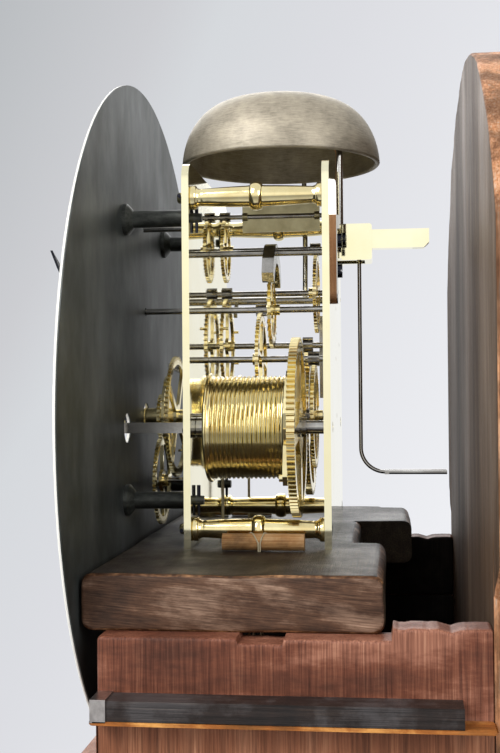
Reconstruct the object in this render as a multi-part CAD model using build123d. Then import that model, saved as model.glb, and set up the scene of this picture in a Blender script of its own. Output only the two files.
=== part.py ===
from build123d import *
import math
import os

# Longcase clock with its hood off: an eight-day striking movement and its dial on a seatboard,
# in a tall wooden case. Millimetres, +Z up, +Y to the back, dial towards -Y.
# The origin is on the floor, at the middle of the plinth.

# Case heights above the floor and its widths
plinth_height = 90.0
base_height = 430.0
base_width = 336.0
plinth_step = 9.0
trunk_height = 945.0
trunk_width = 272.0
cheek_thickness = 16.0
cheek_rise = 86.0
cheek_back_rise = 4.5
trunk_front_thickness = 18.0
stile_width = 42.0
door_gap = 1.5
top_rail_height = 60.0
bottom_rail_height = 70.0
moulding_height = 34.0
moulding_projection = 26.0
backboard_thickness = 15.0
backboard_head_width = 316.0
backboard_shoulder = 122.0
backboard_above_seat = 213.0
backboard_head_low = 8.0
backboard_head_ramp = 14.0
panel_thickness = 14.0

# Seatboard and the rails that guide the hood
seat_thickness = 21.0
seat_length = 252.0
seat_front_overhang = 9.0
seat_to_dial = 0.5
seat_depth = 111.2
seat_notch_near = 35.8
seat_notch_far = 49.7
seat_notch_depth = 11.7
seat_tongue_depth = 13.0
seat_edge_round = 4.0
rail_thickness = 12.0
rail_height = 7.0
rail_drop = 40.5
rail_cap_length = 5.0
rail_back_inset = 11.0
rail_cap_wall = 0.5

# Movement plates and the pillars between them
plate_width = 117.0
plate_height = 162.8
plate_thickness = 3.0
plate_gap = 56.0
plate_corner = 7.0
front_plate_to_backboard = 121.0
pillar_x = 51.5
pillar_low = 7.5
pillar_high = 148.5
pillar_body_radius = 4.05
pillar_flange_radius = 5.1
pillar_knop_radius = 6.1
pillar_tail_radius = 2.6
pillar_tail_length = 2.8
pin_radius = 0.8
pin_length = 13.0
pin_foot_radius = 0.6
pin_gap = 0.3
screw_radius = 1.5
screw_head_radius = 3.0
screw_head_height = 2.0
screw_slot_width = 0.8
screw_slot_depth = 0.8

# Dial, its feet and its hands
dial_radius = 152.0
dial_thickness = 1.6
dial_gap = 27.7
dial_foot_x = 44.0
dial_foot_low = 19.0
dial_foot_high = 141.0
dial_foot_radius = 3.7
dial_foot_flange_radius = 6.8
dial_foot_tail_radius = 2.2
dial_foot_tail_length = 3.4
winding_hole_radius = 6.5
centre_hole_radius = 6.5
seconds_hole_radius = 2.0
minute_hand_length = 141.0
hour_hand_length = 92.0
seconds_hand_length = 24.0
hand_thickness = 0.9
minutes_past = 10.5

# Wheel counts
going_great_teeth = 96
centre_pinion_leaves = 8
centre_wheel_teeth = 60
third_pinion_leaves = 8
third_wheel_teeth = 56
escape_pinion_leaves = 7
escape_wheel_teeth = 30
strike_great_teeth = 78
pin_pinion_leaves = 8
pin_wheel_teeth = 56
gathering_pinion_leaves = 7
gathering_wheel_teeth = 49
warning_pinion_leaves = 7
warning_wheel_teeth = 48
fly_pinion_leaves = 7
cannon_teeth = 36
minute_wheel_teeth = 36
minute_pinion_leaves = 6
hour_wheel_teeth = 72
date_pinion_leaves = 28
date_wheel_teeth = 56
hammer_pin_count = 8

# Arbor places on the plates: across from the middle, up from the seatboard
barrel_x = 40.9
barrel_z = 50.2
centre_z = 54.2
third_x = 4.0
third_z = 80.5
escape_z = 103.7
pallet_z = 130.2
pin_x = -31.9
pin_z = 88.1
gathering_x = -31.9
gathering_z = 113.8
warning_x = -25.5
warning_z = 134.5
fly_x = -27.0
fly_z = 151.4
hammer_x = -54.4
hammer_z = 112.0
motion_distance = 29.9
minute_direction = 215.0

# Places of the wheels between the plates, back from the face of the front plate
great_wheel_y = 45.0
great_wheel_thickness = 3.4
great_pinion_margin = 0.8
centre_wheel_y = 51.0
third_wheel_y = 26.6
escape_wheel_y = 31.4
pin_wheel_y = 6.0
gathering_wheel_y = 50.4
warning_wheel_y = 6.4
wheel_thickness = 1.6
pinion_length = 5.2
going_drum_front = 8.8
strike_drum_front = 11.2
drum_gap = 0.3
ratchet_thickness = 2.0
ratchet_teeth = 24
drum_radius = 22.0
groove_count = 16
groove_depth = 0.6
drum_flange_radius = 25.0
drum_flange_thickness = 1.4
gut_radius = 0.65
click_gap = 0.4

# Places in front of the front plate, towards the dial
cannon_y = -5.4
hour_wheel_y = -14.0
snail_y = -17.4
date_wheel_y = -21.2
rack_y = -9.0
bridge_y = -9.4
bridge_wall = 1.6
bridge_width = 9.0
bridge_leg_reach = 16.8
bridge_screw_reach = 21.5
bridge_foot_thickness = 1.6
lever_thickness = 1.3
lever_root = 2.4
lift_step = 2.6

# Arbors, pivots and running clearances
arbor_radius = 1.5
barrel_arbor_radius = 2.9
winding_square = 4.6
pivot_radius = 0.9
barrel_pivot_radius = 2.3
pivot_clearance = 0.1
end_shake = 0.2
run_gap = 0.3
collet_radius = 2.6
collet_length = 3.0
centre_arbor_radius = 1.4
fly_arbor_radius = 1.2
stud_radius = 1.6
stud_shoulder = 2.0
minute_stud_radius = 0.7
date_stud_radius = 1.2
spare_post_x = 10.0
spare_post_z = 141.5

# Tooth form, in modules and in parts of a tooth's pitch
wheel_addendum = 0.95
wheel_dedendum = 1.3
pinion_addendum = 0.45
pinion_dedendum = 1.5
wheel_rim_modules = 4.2

# Anchor, crutch and cock
anchor_thickness = 5.4
escape_radius = 18.0
escape_tooth_depth = 3.2
escape_rim_width = 2.0
anchor_reach = 19.6
pallet_clearance = 0.5
crutch_radius = 0.9
crutch_hole_radius = 7.0
crutch_y = 73.0
crutch_drop = 102.0
crutch_bend = 11.0
crutch_back = 39.0
fork_length = 27.0
fork_half_gap = 2.4
cock_width = 34.0
cock_height = 16.5
cock_depth = 17.0
cock_drop = 5.0
cock_screw_rise = 4.0
cock_screw_inset = 3.6
cock_arm_drop = 2.0
cock_edge_round = 1.2
cock_arm_chamfer = 2.4
cock_wall = 3.4
cock_arm_length = 26.0
cock_arm_height = 8.6
cock_arm_width = 7.0
cock_slot_width = 1.0
cock_slot_depth = 7.5

# Bell, its stand and the hammer
bell_radius = 45.9
bell_height = 31.2
bell_side_power = 3.77
bell_crown_power = 1.81
bell_wall = 2.4
bell_y = 37.0
bell_rim_z = 170.2
stand_x = 27.0
stand_strip_width = 9.0
stand_strip_thickness = 2.2
stand_strip_low = 104.0
stand_strip_high = 143.0
stand_screws_z = (132.0, 118.5)
stand_rod_radius = 1.6
stand_thread_radius = 1.4
nut_radius = 3.2
nut_thickness = 2.2
hammer_arbor_radius = 2.0
hammer_pivot = 1.2
hammer_pin_radius = 0.7
hammer_pin_inset = 2.7
hammer_y = 44.0
hammer_stem_radius = 1.3
hammer_head_radius = 5.0
hammer_head_length = 9.0
hammer_gap = 1.2
hammer_tail_y = 8.9

# Fly
fly_length = 38.0
fly_radius = 7.6
fly_front = 15.4
fly_thickness = 0.7
fly_rest = 90.0

# Strike levers on the front plate
rack_pivot_x = -50.0
rack_pivot_z = 76.0
rack_tooth_angle = 1.3
rack_first_angle = 47.0
rack_last_angle = 84.0
rack_tooth_depth = 0.9
rack_tail_length = 50.0
rack_tail_lift = 26.0
rack_width = 5.0
rack_inner_step = 4.0
snail_steps = 12
snail_low = 7.5
snail_step = 1.1
snail_start = 85.0
gathering_reach = 4.5
hook_pivot_x = -14.0
hook_pivot_z = 127.0
rack_hook_angle = 50.0
lift_pivot_x = -52.0
lift_pivot_z = 27.0
lift_width = 2.4
lift_gap = 0.7
lift_straight = 8.0
lift_pin_radius = 0.8
lift_pin_circle = 8.0
lift_end_x = -17.6
lift_end_z = 109.5

# Toggles, pulleys and lines
near_toggle = (62.5, 17.0, 51.0, 3.5)
near_toggle_line = 33.0
far_toggle = (-72.0, 3.0, 24.0, 3.1)
far_toggle_line = 13.8
line_slot_half = 3.5
pulley_drop = 640.0
toggle_hole_radius = 2.4
pulley_groove_radius = 21.0
pulley_thickness = 7.0

# Door of the trunk
door_thickness = 18.0
hinge_length = 60.0
hinge_pin_radius = 2.0
hinge_barrel_radius = 4.2
hinge_leaf_width = 14.0
hinge_leaf_thickness = 1.5
lock_plate_width = 16.0
lock_plate_height = 34.0

# Levels and depths worked out from the sizes above
trunk_bottom = plinth_height + base_height
trunk_top = trunk_bottom + trunk_height
seat_bottom = trunk_top + cheek_rise
seat_top = seat_bottom + seat_thickness
base_step = (base_width - trunk_width) / 2
dial_back = -dial_gap
dial_front = dial_back - dial_thickness
seat_front = dial_back + seat_to_dial
cheek_front = seat_front + seat_front_overhang
front_parts = plinth_step + base_step + trunk_front_thickness
case_depth = front_parts - cheek_front + front_plate_to_backboard + backboard_thickness
case_back = case_depth / 2
backboard_front = case_back - backboard_thickness
plate_face = backboard_front - front_plate_to_backboard
back_inner = plate_thickness + plate_gap
back_outer = back_inner + plate_thickness
lift_y = rack_y - lift_step
hand_hour_y = dial_front - 4.0
hand_minute_y = hand_hour_y - 3.0
hand_seconds_y = dial_front - 1.6
cheek_half = trunk_width / 2
cheek_inner = cheek_half - cheek_thickness


def to_clock(shape):
    """Carries a shape from the movement's frame, on the seatboard, to the clock's own."""
    return Pos(0, plate_face, seat_top) * shape


def save(name, solids):
    """Writes a sub-part's solids as one STEP file under its node's name."""
    flat = []
    for item in solids:
        flat.extend(item.solids())
    export_step(Compound(children=flat) if len(flat) > 1 else flat[0], f"parts/{name}.step")


def along_y(shape, x, y, z, turn=0.0):
    """Stands a shape made on the XY plane, rising along Z, so that it runs back along Y."""
    return Pos(x, y, z) * Rot(-90, 0, 0) * Rot(0, 0, turn) * shape


def rod(radius, y0, y1, x, z):
    """A round bar along Y from y0 to y1."""
    return along_y(Cylinder(radius, y1 - y0, align=(Align.CENTER, Align.CENTER, Align.MIN)), x, y0, z)


def block(x0, x1, y0, y1, z0, z1):
    """A box given by its two corners."""
    return Pos((x0 + x1) / 2, (y0 + y1) / 2, (z0 + z1) / 2) * Box(x1 - x0, y1 - y0, z1 - z0)


def plate_of(points, y0, thickness):
    """A flat plate of an outline in X and Z, rising back along Y from y0."""
    face = make_face(Polyline([(x, -z) for x, z in points], close=True))
    return along_y(extrude(face, thickness), 0, y0, 0)


def turned(points, x, y, z):
    """A body turned about a line along Y, from points of radius and distance along it."""
    face = make_face(Polyline([(r, 0, t) for r, t in points], close=True))
    return along_y(revolve(face, Axis.Z), x, y, z)


def bearing(x0, z0, x1, z1):
    """The direction from one arbor to another, in degrees from +X towards +Z."""
    return math.degrees(math.atan2(z1 - z0, x1 - x0))


def tooth_module(distance, teeth, leaves):
    """The module that puts a wheel and pinion in mesh at this distance."""
    return 2 * distance / (teeth + leaves)


def toothed(teeth, module, thickness, addendum, dedendum, root, pitch, tip):
    """A toothed disc on the XY plane, with a tooth on +X and widths in parts of the tooth pitch."""
    pitch_radius = module * teeth / 2
    step = 2 * math.pi / teeth
    form = ((-dedendum, -root), (0, -pitch), (addendum, -tip), (addendum, tip), (0, pitch), (-dedendum, root))
    points = []
    for tooth in range(teeth):
        for height, share in form:
            radius = pitch_radius + height * module
            angle = (tooth + share) * step
            points.append((radius * math.cos(angle), radius * math.sin(angle)))
    return extrude(make_face(Polyline(points, close=True)), thickness)


def windows(outer, inner, arms, arm_width, thickness):
    """The openings between the arms of a crossed-out wheel, as a cutting shape."""
    ring = Circle(outer) - Circle(inner)
    for arm in range(arms):
        ring -= Rot(0, 0, 360 * arm / arms) * Pos(outer / 2, 0) * Rectangle(outer * 1.2, arm_width)
    return extrude(ring, thickness)


def crossed_wheel(teeth, module, thickness, bore, hub, arms=4):
    """A brass train wheel with teeth, a thin rim and straight arms, on the XY plane."""
    body = toothed(teeth, module, thickness, wheel_addendum, wheel_dedendum, 0.24, 0.20, 0.05)
    rim = module * (teeth / 2 - wheel_rim_modules)
    body -= windows(rim, hub, arms, max(1.6, rim * 0.11), thickness)
    return body - Cylinder(bore, thickness, align=(Align.CENTER, Align.CENTER, Align.MIN))


def leaves(count, module, length):
    """The cut leaves of a steel pinion, on the XY plane."""
    return toothed(count, module, length, pinion_addendum, pinion_dedendum, 0.15, 0.15, 0.09)


def gap_turn(count, direction):
    """The turn that points the gap between two leaves along a direction in X and Z."""
    return -direction + 180.0 / count


def arbor(x, z, y0=None, y1=None, radius=arbor_radius, pivot=pivot_radius):
    """A steel arbor between the plates, with a pivot in each plate."""
    front = plate_thickness + end_shake if y0 is None else y0
    back = back_inner - end_shake if y1 is None else y1
    body = rod(radius, front, back, x, z)
    if front > end_shake:
        body += rod(pivot, end_shake, front, x, z)
    body += rod(pivot, back, back_outer - end_shake, x, z)
    return body


def collet(x, y, z, bore):
    """The brass collet that carries a wheel on its arbor."""
    return rod(collet_radius, y, y + collet_length, x, z) - rod(bore, y, y + collet_length, x, z)


def wheel_on(teeth, module, y, x, z, direction, bore=arbor_radius, thickness=wheel_thickness, behind=True):
    """A crossed wheel on its collet, with a tooth pointing along a direction."""
    wheel = along_y(crossed_wheel(teeth, module, thickness, bore, collet_radius + 1.6), x, y, z, -direction)
    side = y + thickness if behind else y - collet_length
    return wheel + collet(x, side, z, bore)


def pinion_on(count, module, y, length, x, z, direction):
    """A pinion's leaves round an arbor, with a gap pointing along a direction."""
    return along_y(leaves(count, module, length), x, y, z, gap_turn(count, direction))


def movement(name, *shapes):
    """Writes a sub-part that was made in the movement's frame."""
    save(name, [to_clock(shape) for shape in shapes])


def both(values):
    """A value on the near and the far side of the middle."""
    return (values, -values)


# Meshes: module of each pair, from the distance between its arbors
going_great_module = tooth_module(math.dist((barrel_x, barrel_z), (0, centre_z)), going_great_teeth,
                                  centre_pinion_leaves)
centre_module = tooth_module(math.dist((0, centre_z), (third_x, third_z)), centre_wheel_teeth,
                             third_pinion_leaves)
third_module = tooth_module(math.dist((third_x, third_z), (0, escape_z)), third_wheel_teeth,
                            escape_pinion_leaves)
strike_great_module = tooth_module(math.dist((-barrel_x, barrel_z), (pin_x, pin_z)), strike_great_teeth,
                                   pin_pinion_leaves)
pin_module = tooth_module(math.dist((pin_x, pin_z), (gathering_x, gathering_z)), pin_wheel_teeth,
                          gathering_pinion_leaves)
gathering_module = tooth_module(
    math.dist((gathering_x, gathering_z),
              (warning_x, warning_z)), gathering_wheel_teeth, warning_pinion_leaves)
warning_module = tooth_module(math.dist((warning_x, warning_z), (fly_x, fly_z)), warning_wheel_teeth,
                              fly_pinion_leaves)

# The hammer's lifting pins stand on the pin wheel's rim
hammer_pin_circle = pin_module * (pin_wheel_teeth / 2 - hammer_pin_inset)

# Motion work: one distance serves the minute wheel, the hour wheel and the date wheel
minute_x = motion_distance * math.cos(math.radians(minute_direction))
minute_z = centre_z + motion_distance * math.sin(math.radians(minute_direction))
date_z = centre_z - motion_distance
cannon_module = tooth_module(motion_distance, cannon_teeth, minute_wheel_teeth)
hour_module = tooth_module(motion_distance, hour_wheel_teeth, minute_pinion_leaves)
date_module = tooth_module(motion_distance, date_wheel_teeth, date_pinion_leaves)

# Pipes and sleeves round the centre arbor, each with running room
cannon_bore = centre_arbor_radius
cannon_radius = cannon_bore + 0.9
bridge_bore = cannon_radius + pivot_clearance
bridge_pipe_radius = bridge_bore + 0.8
hour_bore = bridge_pipe_radius + pivot_clearance
hour_pipe_radius = hour_bore + 0.8

# Pinions by the front plate, and the levers' bores and reach
front_pinion_y = plate_thickness + end_shake + 1.0
lever_bore = stud_radius + pivot_clearance
lever_boss = stud_radius + 2.0
rack_radius = math.dist((rack_pivot_x, rack_pivot_z), (gathering_x, gathering_z)) - gathering_reach - run_gap

# The pins stand clear of the plate that they hold
pillar_pin_y = -pin_gap - pin_radius
foot_pin_y = plate_thickness + pin_gap + pin_radius

# The places where pillars, feet and arbors meet the plates
pillar_places = [(x, z) for x in both(pillar_x) for z in (pillar_low, pillar_high)]
foot_places = [(x, z) for x in both(dial_foot_x) for z in (dial_foot_low, dial_foot_high)]
train_places = [(third_x, third_z), (pin_x, pin_z), (warning_x, warning_z), (fly_x, fly_z)]
cock_screws = [(x, pallet_z + cock_screw_rise) for x in both(cock_width / 2 - cock_screw_inset)]
stand_screws = [(stand_x, z) for z in stand_screws_z]
bridge_screws = [(0, centre_z + reach) for reach in both(bridge_screw_reach)]
lever_studs = [(rack_pivot_x, rack_pivot_z), (hook_pivot_x, hook_pivot_z), (lift_pivot_x, lift_pivot_z)]


def hole(radius, y0, y1, x, z):
    """A cutting bar that runs a little past both faces."""
    return rod(radius, y0 - 1, y1 + 1, x, z)


def drilled(plate, y0, holes):
    """A plate with a hole of each radius at each of its places."""
    for radius, places in holes:
        for x, z in places:
            plate -= hole(radius, y0, y0 + plate_thickness, x, z)
    return plate


def plate_blank(y0):
    """A plate with rounded top corners."""
    body = block(-plate_width / 2, plate_width / 2, y0, y0 + plate_thickness, 0, plate_height)
    corners = body.edges().filter_by(Axis.Y).group_by(Axis.Z)[-1]
    return fillet(corners, plate_corner)


def front_plate():
    """The front plate, drilled for pillars, dial feet, arbors, studs and the bridge's screws."""
    holes = [(pillar_tail_radius, pillar_places), (dial_foot_tail_radius, foot_places),
             (pivot_radius + pivot_clearance, train_places + [(0, pallet_z)]),
             (arbor_radius + pivot_clearance, [(0, escape_z), (gathering_x, gathering_z)]),
             (centre_arbor_radius + pivot_clearance, [(0, centre_z)]),
             (barrel_arbor_radius + pivot_clearance, [(x, barrel_z) for x in both(barrel_x)]),
             (hammer_pivot + pivot_clearance, [(hammer_x, hammer_z)]),
             (stud_radius, lever_studs + [(spare_post_x, spare_post_z)]),
             (minute_stud_radius, [(minute_x, minute_z)]), (date_stud_radius, [(0, date_z)]),
             (screw_radius, bridge_screws)]
    movement("front_plate", drilled(plate_blank(0), 0, holes))


def back_plate():
    """The back plate, drilled for pillars, pivots, the pallet arbor and the screws of cock and bell stand."""
    pivots = train_places + [(0, escape_z), (gathering_x, gathering_z), (0, centre_z)]
    holes = [(pillar_tail_radius, pillar_places), (pivot_radius + pivot_clearance, pivots),
             (barrel_pivot_radius + pivot_clearance, [(x, barrel_z) for x in both(barrel_x)]),
             (hammer_pivot + pivot_clearance, [(hammer_x, hammer_z)]),
             (crutch_hole_radius, [(0, pallet_z)]), (screw_radius, cock_screws + stand_screws)]
    movement("back_plate", drilled(plate_blank(back_inner), back_inner, holes))


def pillar(x, z):
    """One turned pillar: tail, flange, tapering body, knop in the middle, flange, tail."""
    half = plate_gap / 2
    knop = 2.4
    flange = 2.6
    profile = [
        (0, -half - plate_thickness - pillar_tail_length), (pillar_tail_radius - 0.4,
                                                            -half - plate_thickness - pillar_tail_length),
        (pillar_tail_radius, -half - plate_thickness), (pillar_tail_radius, -half),
        (pillar_flange_radius, -half), (pillar_flange_radius, -half + flange * 0.6),
        (pillar_body_radius * 0.8, -half + flange), (pillar_body_radius * 0.92, -half + flange + 1.2),
        (pillar_body_radius, -knop - 3.0), (pillar_body_radius * 1.12,
                                            -knop - 0.8), (pillar_knop_radius * 0.9, -knop),
        (pillar_knop_radius, -knop * 0.4), (pillar_knop_radius, knop * 0.4), (pillar_knop_radius * 0.9, knop),
        (pillar_body_radius * 1.12, knop + 0.8), (pillar_body_radius, knop + 3.0),
        (pillar_body_radius * 0.92, half - flange - 1.2), (pillar_body_radius * 0.8, half - flange),
        (pillar_flange_radius, half - flange * 0.6), (pillar_flange_radius, half),
        (pillar_tail_radius, half), (pillar_tail_radius, half + plate_thickness), (0, half + plate_thickness)]
    body = turned(profile, x, plate_thickness + half, z)
    return body - pin_hole(x, pillar_pin_y, z, 90)


def pin_hole(x, y, z, turn):
    """The cross hole that a taper pin goes through, upright or turned to lie across."""
    return Pos(x, y, z) * Rot(0, turn, 0) * Cylinder(pin_radius, 40)


def taper_pin(x, y, z, turn):
    """A pin through a tail, a little thinner at its foot, upright or turned to lie across."""
    shank = Cylinder(pin_radius, pin_length / 2, align=(Align.CENTER, Align.CENTER, Align.MIN))
    foot = Cone(pin_foot_radius, pin_radius, pin_length / 2, align=(Align.CENTER, Align.CENTER, Align.MAX))
    return Pos(x, y, z) * Rot(0, turn, 0) * (shank + foot)


def pillars():
    movement("plate_pillars", *[pillar(x, z) for x, z in pillar_places])


def taper_pins():
    pins = [taper_pin(x, pillar_pin_y, z, 90) for x, z in pillar_places]
    pins += [taper_pin(x, foot_pin_y, z, 0) for x, z in foot_places]
    movement("taper_pins", *pins)


def dial_foot(x, z):
    """An iron dial foot: flange on the dial, round post, thin tail through the front plate."""
    profile = [
        (0, dial_back), (dial_foot_flange_radius, dial_back), (dial_foot_flange_radius, dial_back + 1.6),
        (dial_foot_flange_radius * 0.8, dial_back + 2.8), (dial_foot_radius,
                                                           dial_back + 4.2), (dial_foot_radius, 0),
        (dial_foot_tail_radius, 0), (dial_foot_tail_radius, plate_thickness),
        (dial_foot_tail_radius - 0.3, plate_thickness + dial_foot_tail_length),
        (0, plate_thickness + dial_foot_tail_length)]
    return turned(profile, x, 0, z) - pin_hole(x, foot_pin_y, z, 0)


def dial_feet():
    movement("dial_feet", *[dial_foot(x, z) for x, z in foot_places])


def dial_plate():
    disc = rod(dial_radius, dial_front, dial_back, 0, centre_z)
    disc = fillet(disc.edges().group_by(Axis.Y)[0], dial_thickness * 0.45)
    for x in both(barrel_x):
        disc -= hole(winding_hole_radius, dial_front, dial_back, x, barrel_z)
    disc -= hole(centre_hole_radius, dial_front, dial_back, 0, centre_z)
    disc -= hole(seconds_hole_radius, dial_front, dial_back, 0, escape_z)
    movement("dial_plate", disc)


def back_cock():
    """The cock behind the back plate: two screwed ears, a bridge wall for the pallet pivot, and the
    notched arm that the pendulum's spring hangs from."""
    y0, y1 = back_outer, back_outer + cock_depth
    z0 = pallet_z - cock_drop
    z1 = z0 + cock_height
    half = cock_width / 2
    inner = crutch_hole_radius
    ear = cock_width / 2 - cock_screw_inset - screw_head_radius - 0.6
    body = block(-half, half, y0, y1, z0, z1)
    body = fillet(body.edges().filter_by(Axis.X).group_by(Axis.Y)[-1], cock_edge_round)
    body -= block(-inner, inner, y0 - 1, y1 - cock_wall, z0 - 1, z1 - cock_wall)
    for side in (-1, 1):
        x0, x1 = sorted((side * ear, side * (half + 1)))
        body -= block(x0, x1, y0 + cock_wall, y1 + 1, z0 - 1, z1 + 1)
    for x, z in cock_screws:
        body -= hole(screw_radius, y0, y1, x, z)
    body -= hole(pivot_radius + pivot_clearance, y0, y1, 0, pallet_z)
    half, end = cock_arm_width / 2, y1 + cock_arm_length
    top = z1 - cock_arm_drop
    arm = block(-half, half, y1, end, top - cock_arm_height, top)
    arm = chamfer(arm.edges().filter_by(Axis.X).group_by(Axis.Y)[-1].sort_by(Axis.Z)[0], cock_arm_chamfer)
    half = cock_slot_width / 2
    slot = block(-half, half, end - cock_slot_depth, end + 1, z0 - 10, z1 + 10)
    movement("back_cock", body + arm - slot)


def screw(x, z, face, length, way):
    """A slotted screw with its head on a face; way is +1 or -1, as the shank runs along Y."""
    head0, head1 = sorted((face, face - way * screw_head_height))
    shank0, shank1 = sorted((face, face + way * length))
    top = face - way * screw_head_height
    half = screw_slot_width / 2
    reach = screw_head_radius + 1
    slot = block(x - reach, x + reach, top - screw_slot_depth, top + screw_slot_depth, z - half, z + half)
    return rod(screw_head_radius, head0, head1, x, z) - slot + rod(screw_radius, shank0, shank1, x, z)


def movement_screws():
    """The screws of the cock, the bell stand and the motion-work bridge."""
    screws = [screw(x, z, back_outer + cock_wall, cock_wall + plate_thickness, -1) for x, z in cock_screws]
    strip = stand_strip_thickness
    screws += [screw(x, z, back_outer + strip, strip + plate_thickness, -1) for x, z in stand_screws]
    foot = bridge_foot_thickness
    screws += [screw(x, z, -foot, foot + plate_thickness, 1) for x, z in bridge_screws]
    movement("movement_screws", *screws)


def motion_bridge():
    """The bridge over the cannon wheel, with the pipe that the hour wheel turns on."""
    half = bridge_width / 2
    reach = bridge_leg_reach
    foot = bridge_screw_reach + screw_head_radius + 1.0
    body = block(-half, half, bridge_y, bridge_y + bridge_wall, centre_z - reach - bridge_wall,
                 centre_z + reach + bridge_wall)
    for side in (-1, 1):
        inner, outer = sorted((centre_z + side * reach, centre_z + side * (reach + bridge_wall)))
        body += block(-half, half, bridge_y, 0, inner, outer)
        inner, outer = sorted((centre_z + side * reach, centre_z + side * foot))
        body += block(-half, half, -bridge_foot_thickness, 0, inner, outer)
        body -= hole(screw_radius, -bridge_foot_thickness, 0, 0, centre_z + side * bridge_screw_reach)
    body += rod(bridge_pipe_radius, hand_hour_y + 2.0, bridge_y, 0, centre_z)
    movement("motion_bridge", body - hole(bridge_bore, hand_hour_y, 0, 0, centre_z))


def plate_studs():
    """Studs riveted in the front plate, and the brass-coloured post near its top."""
    studs = []
    ends = {lever_studs[0]: (snail_y - 2.4, stud_radius), lever_studs[1]: (rack_y - 2.0, stud_radius),
            lever_studs[2]: (lift_y - 2.0, stud_radius), (minute_x, minute_z): (hour_wheel_y - 3.0,
                                                                                minute_stud_radius),
            (0, date_z): (date_wheel_y - 1.6, date_stud_radius)}
    for (x, z), (end, radius) in ends.items():
        stud = rod(radius, end, plate_thickness, x, z) + rod(radius + 1.2, -stud_shoulder, 0, x, z)
        studs.append(stud)
    post = rod(stud_radius, dial_back + 1.4, plate_thickness, spare_post_x, spare_post_z)
    post += rod(stud_radius + 1.4, -2.4, 0, spare_post_x, spare_post_z)
    studs.append(post)
    movement("plate_studs", *studs)


def bell():
    """The bell: an open bowl, mouth down, with a rounded shoulder and a hole for the stand."""
    wall = bell_wall
    angles = [math.radians(degrees) for degrees in (0, 15, 30, 45, 60, 72, 80, 86)]
    outer = [(bell_radius * math.cos(t) ** (2 / bell_side_power),
              bell_height * math.sin(t) ** (2 / bell_crown_power)) for t in angles] + [(0, bell_height)]
    curve = Spline([(r, 0, z) for r, z in outer], tangents=((0, 0, 1), (-1, 0, 0)))
    solid = revolve(make_face([curve, Line((0, 0, bell_height), (0, 0, 0)),
                               Line((0, 0, 0), (bell_radius, 0, 0))]), Axis.Z)
    share = (bell_radius - wall) / bell_radius
    inner = [(r * share, z * (bell_height - wall) / bell_height) for r, z in outer]
    inner_top = bell_height - wall
    inner_curve = Spline([(r, 0, z) for r, z in inner], tangents=((0, 0, 1), (-1, 0, 0)))
    base = bell_radius - wall
    hollow = revolve(
        make_face([inner_curve, Line((0, 0, inner_top), (0, 0, 0)), Line((0, 0, 0), (base, 0, 0))]), Axis.Z)
    body = solid - hollow - Pos(0, 0, bell_height) * Cylinder(stand_thread_radius, wall * 4)
    movement("bell", Pos(0, bell_y, bell_rim_z) * body)


def bell_stand():
    """The steel bell stand: a strip screwed to the back plate, a rod bent in to the bell's middle,
    and its nut and washer."""
    y0 = back_outer
    y1 = y0 + stand_strip_thickness
    half = stand_strip_width / 2
    strip = block(stand_x - half, stand_x + half, y0, y1, stand_strip_low + half, stand_strip_high)
    strip += rod(half, y0, y1, stand_x, stand_strip_low + half)
    for z in stand_screws_z:
        strip -= hole(screw_radius, y0, y1, stand_x, z)
    rod_y = y0 + stand_rod_radius + 1.6
    top = bell_rim_z + bell_height
    seat = top - bell_wall - 0.3
    path = [(stand_x, rod_y, stand_strip_high - 4.0), (stand_x, rod_y, bell_rim_z + 4.0),
            (0, bell_y, bell_rim_z + 13.0),
            (0, bell_y, seat)]
    wire = FilletPolyline(*path, radius=6.0)
    stem = sweep(Plane(origin=path[0], z_dir=(0, 0, 1)) * Circle(stand_rod_radius), path=wire)
    collar = Pos(0, bell_y, seat - 1.0) * Cylinder(stand_rod_radius + 1.4, 2.0)
    thread = Pos(0, bell_y, (seat + top + 3.0) / 2) * Cylinder(stand_thread_radius - 0.1, top + 3.0 - seat)
    nut = Pos(0, bell_y, top + 1.05 + nut_thickness / 2) * extrude(RegularPolygon(nut_radius, 6),
                                                                  nut_thickness / 2, both=True)
    washer = Pos(0, bell_y, top + 0.55) * Cylinder(nut_radius + 1.0, 1.0)
    body = strip + block(stand_x - 2.0, stand_x + 2.0, y0, rod_y, stand_strip_high - 6.0,
                         stand_strip_high) + stem + collar + thread
    movement("bell_stand", body, nut - Pos(0, bell_y, top) * Cylinder(stand_thread_radius, 20) + (
        washer - Pos(0, bell_y, top) * Cylinder(stand_thread_radius, 20)))


def hammer():
    """The hammer on its arbor: a tail by the lifting pins, a bent stem and the head beside the bell."""
    x, z = hammer_x, hammer_z
    body = arbor(x, z, radius=hammer_arbor_radius, pivot=hammer_pivot)
    bend_x = -pillar_x - pillar_body_radius - hammer_stem_radius - 1.6
    head_z = bell_rim_z + 8.0
    rim_x = -math.sqrt(bell_radius ** 2 - (hammer_y - bell_y) ** 2)
    head_x = rim_x - hammer_gap - hammer_head_length / 2
    path = [(x, hammer_y, z), (bend_x, hammer_y, z + 26.0), (bend_x, hammer_y, bell_rim_z - 10.0),
            (head_x, hammer_y, head_z)]
    stem = sweep(Plane(origin=path[0],
                       z_dir=Vector(*path[1]) - Vector(*path[0])) * Circle(hammer_stem_radius),
                 path=FilletPolyline(*path, radius=5.0))
    body += stem
    body += Pos(head_x, hammer_y, head_z) * Rot(0, 90, 0) * Cylinder(hammer_head_radius, hammer_head_length)
    reach = math.dist((x, z), (pin_x, pin_z)) - hammer_pin_circle - hammer_pin_radius - 0.5
    direction = math.radians(bearing(x, z, pin_x, pin_z))
    tail = along_y(extrude(Pos(reach / 2, 0) * Rectangle(reach, 2.4), 1.8), x, hammer_tail_y - 0.9, z,
                   -math.degrees(direction))
    movement("hammer", body + tail)


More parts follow.
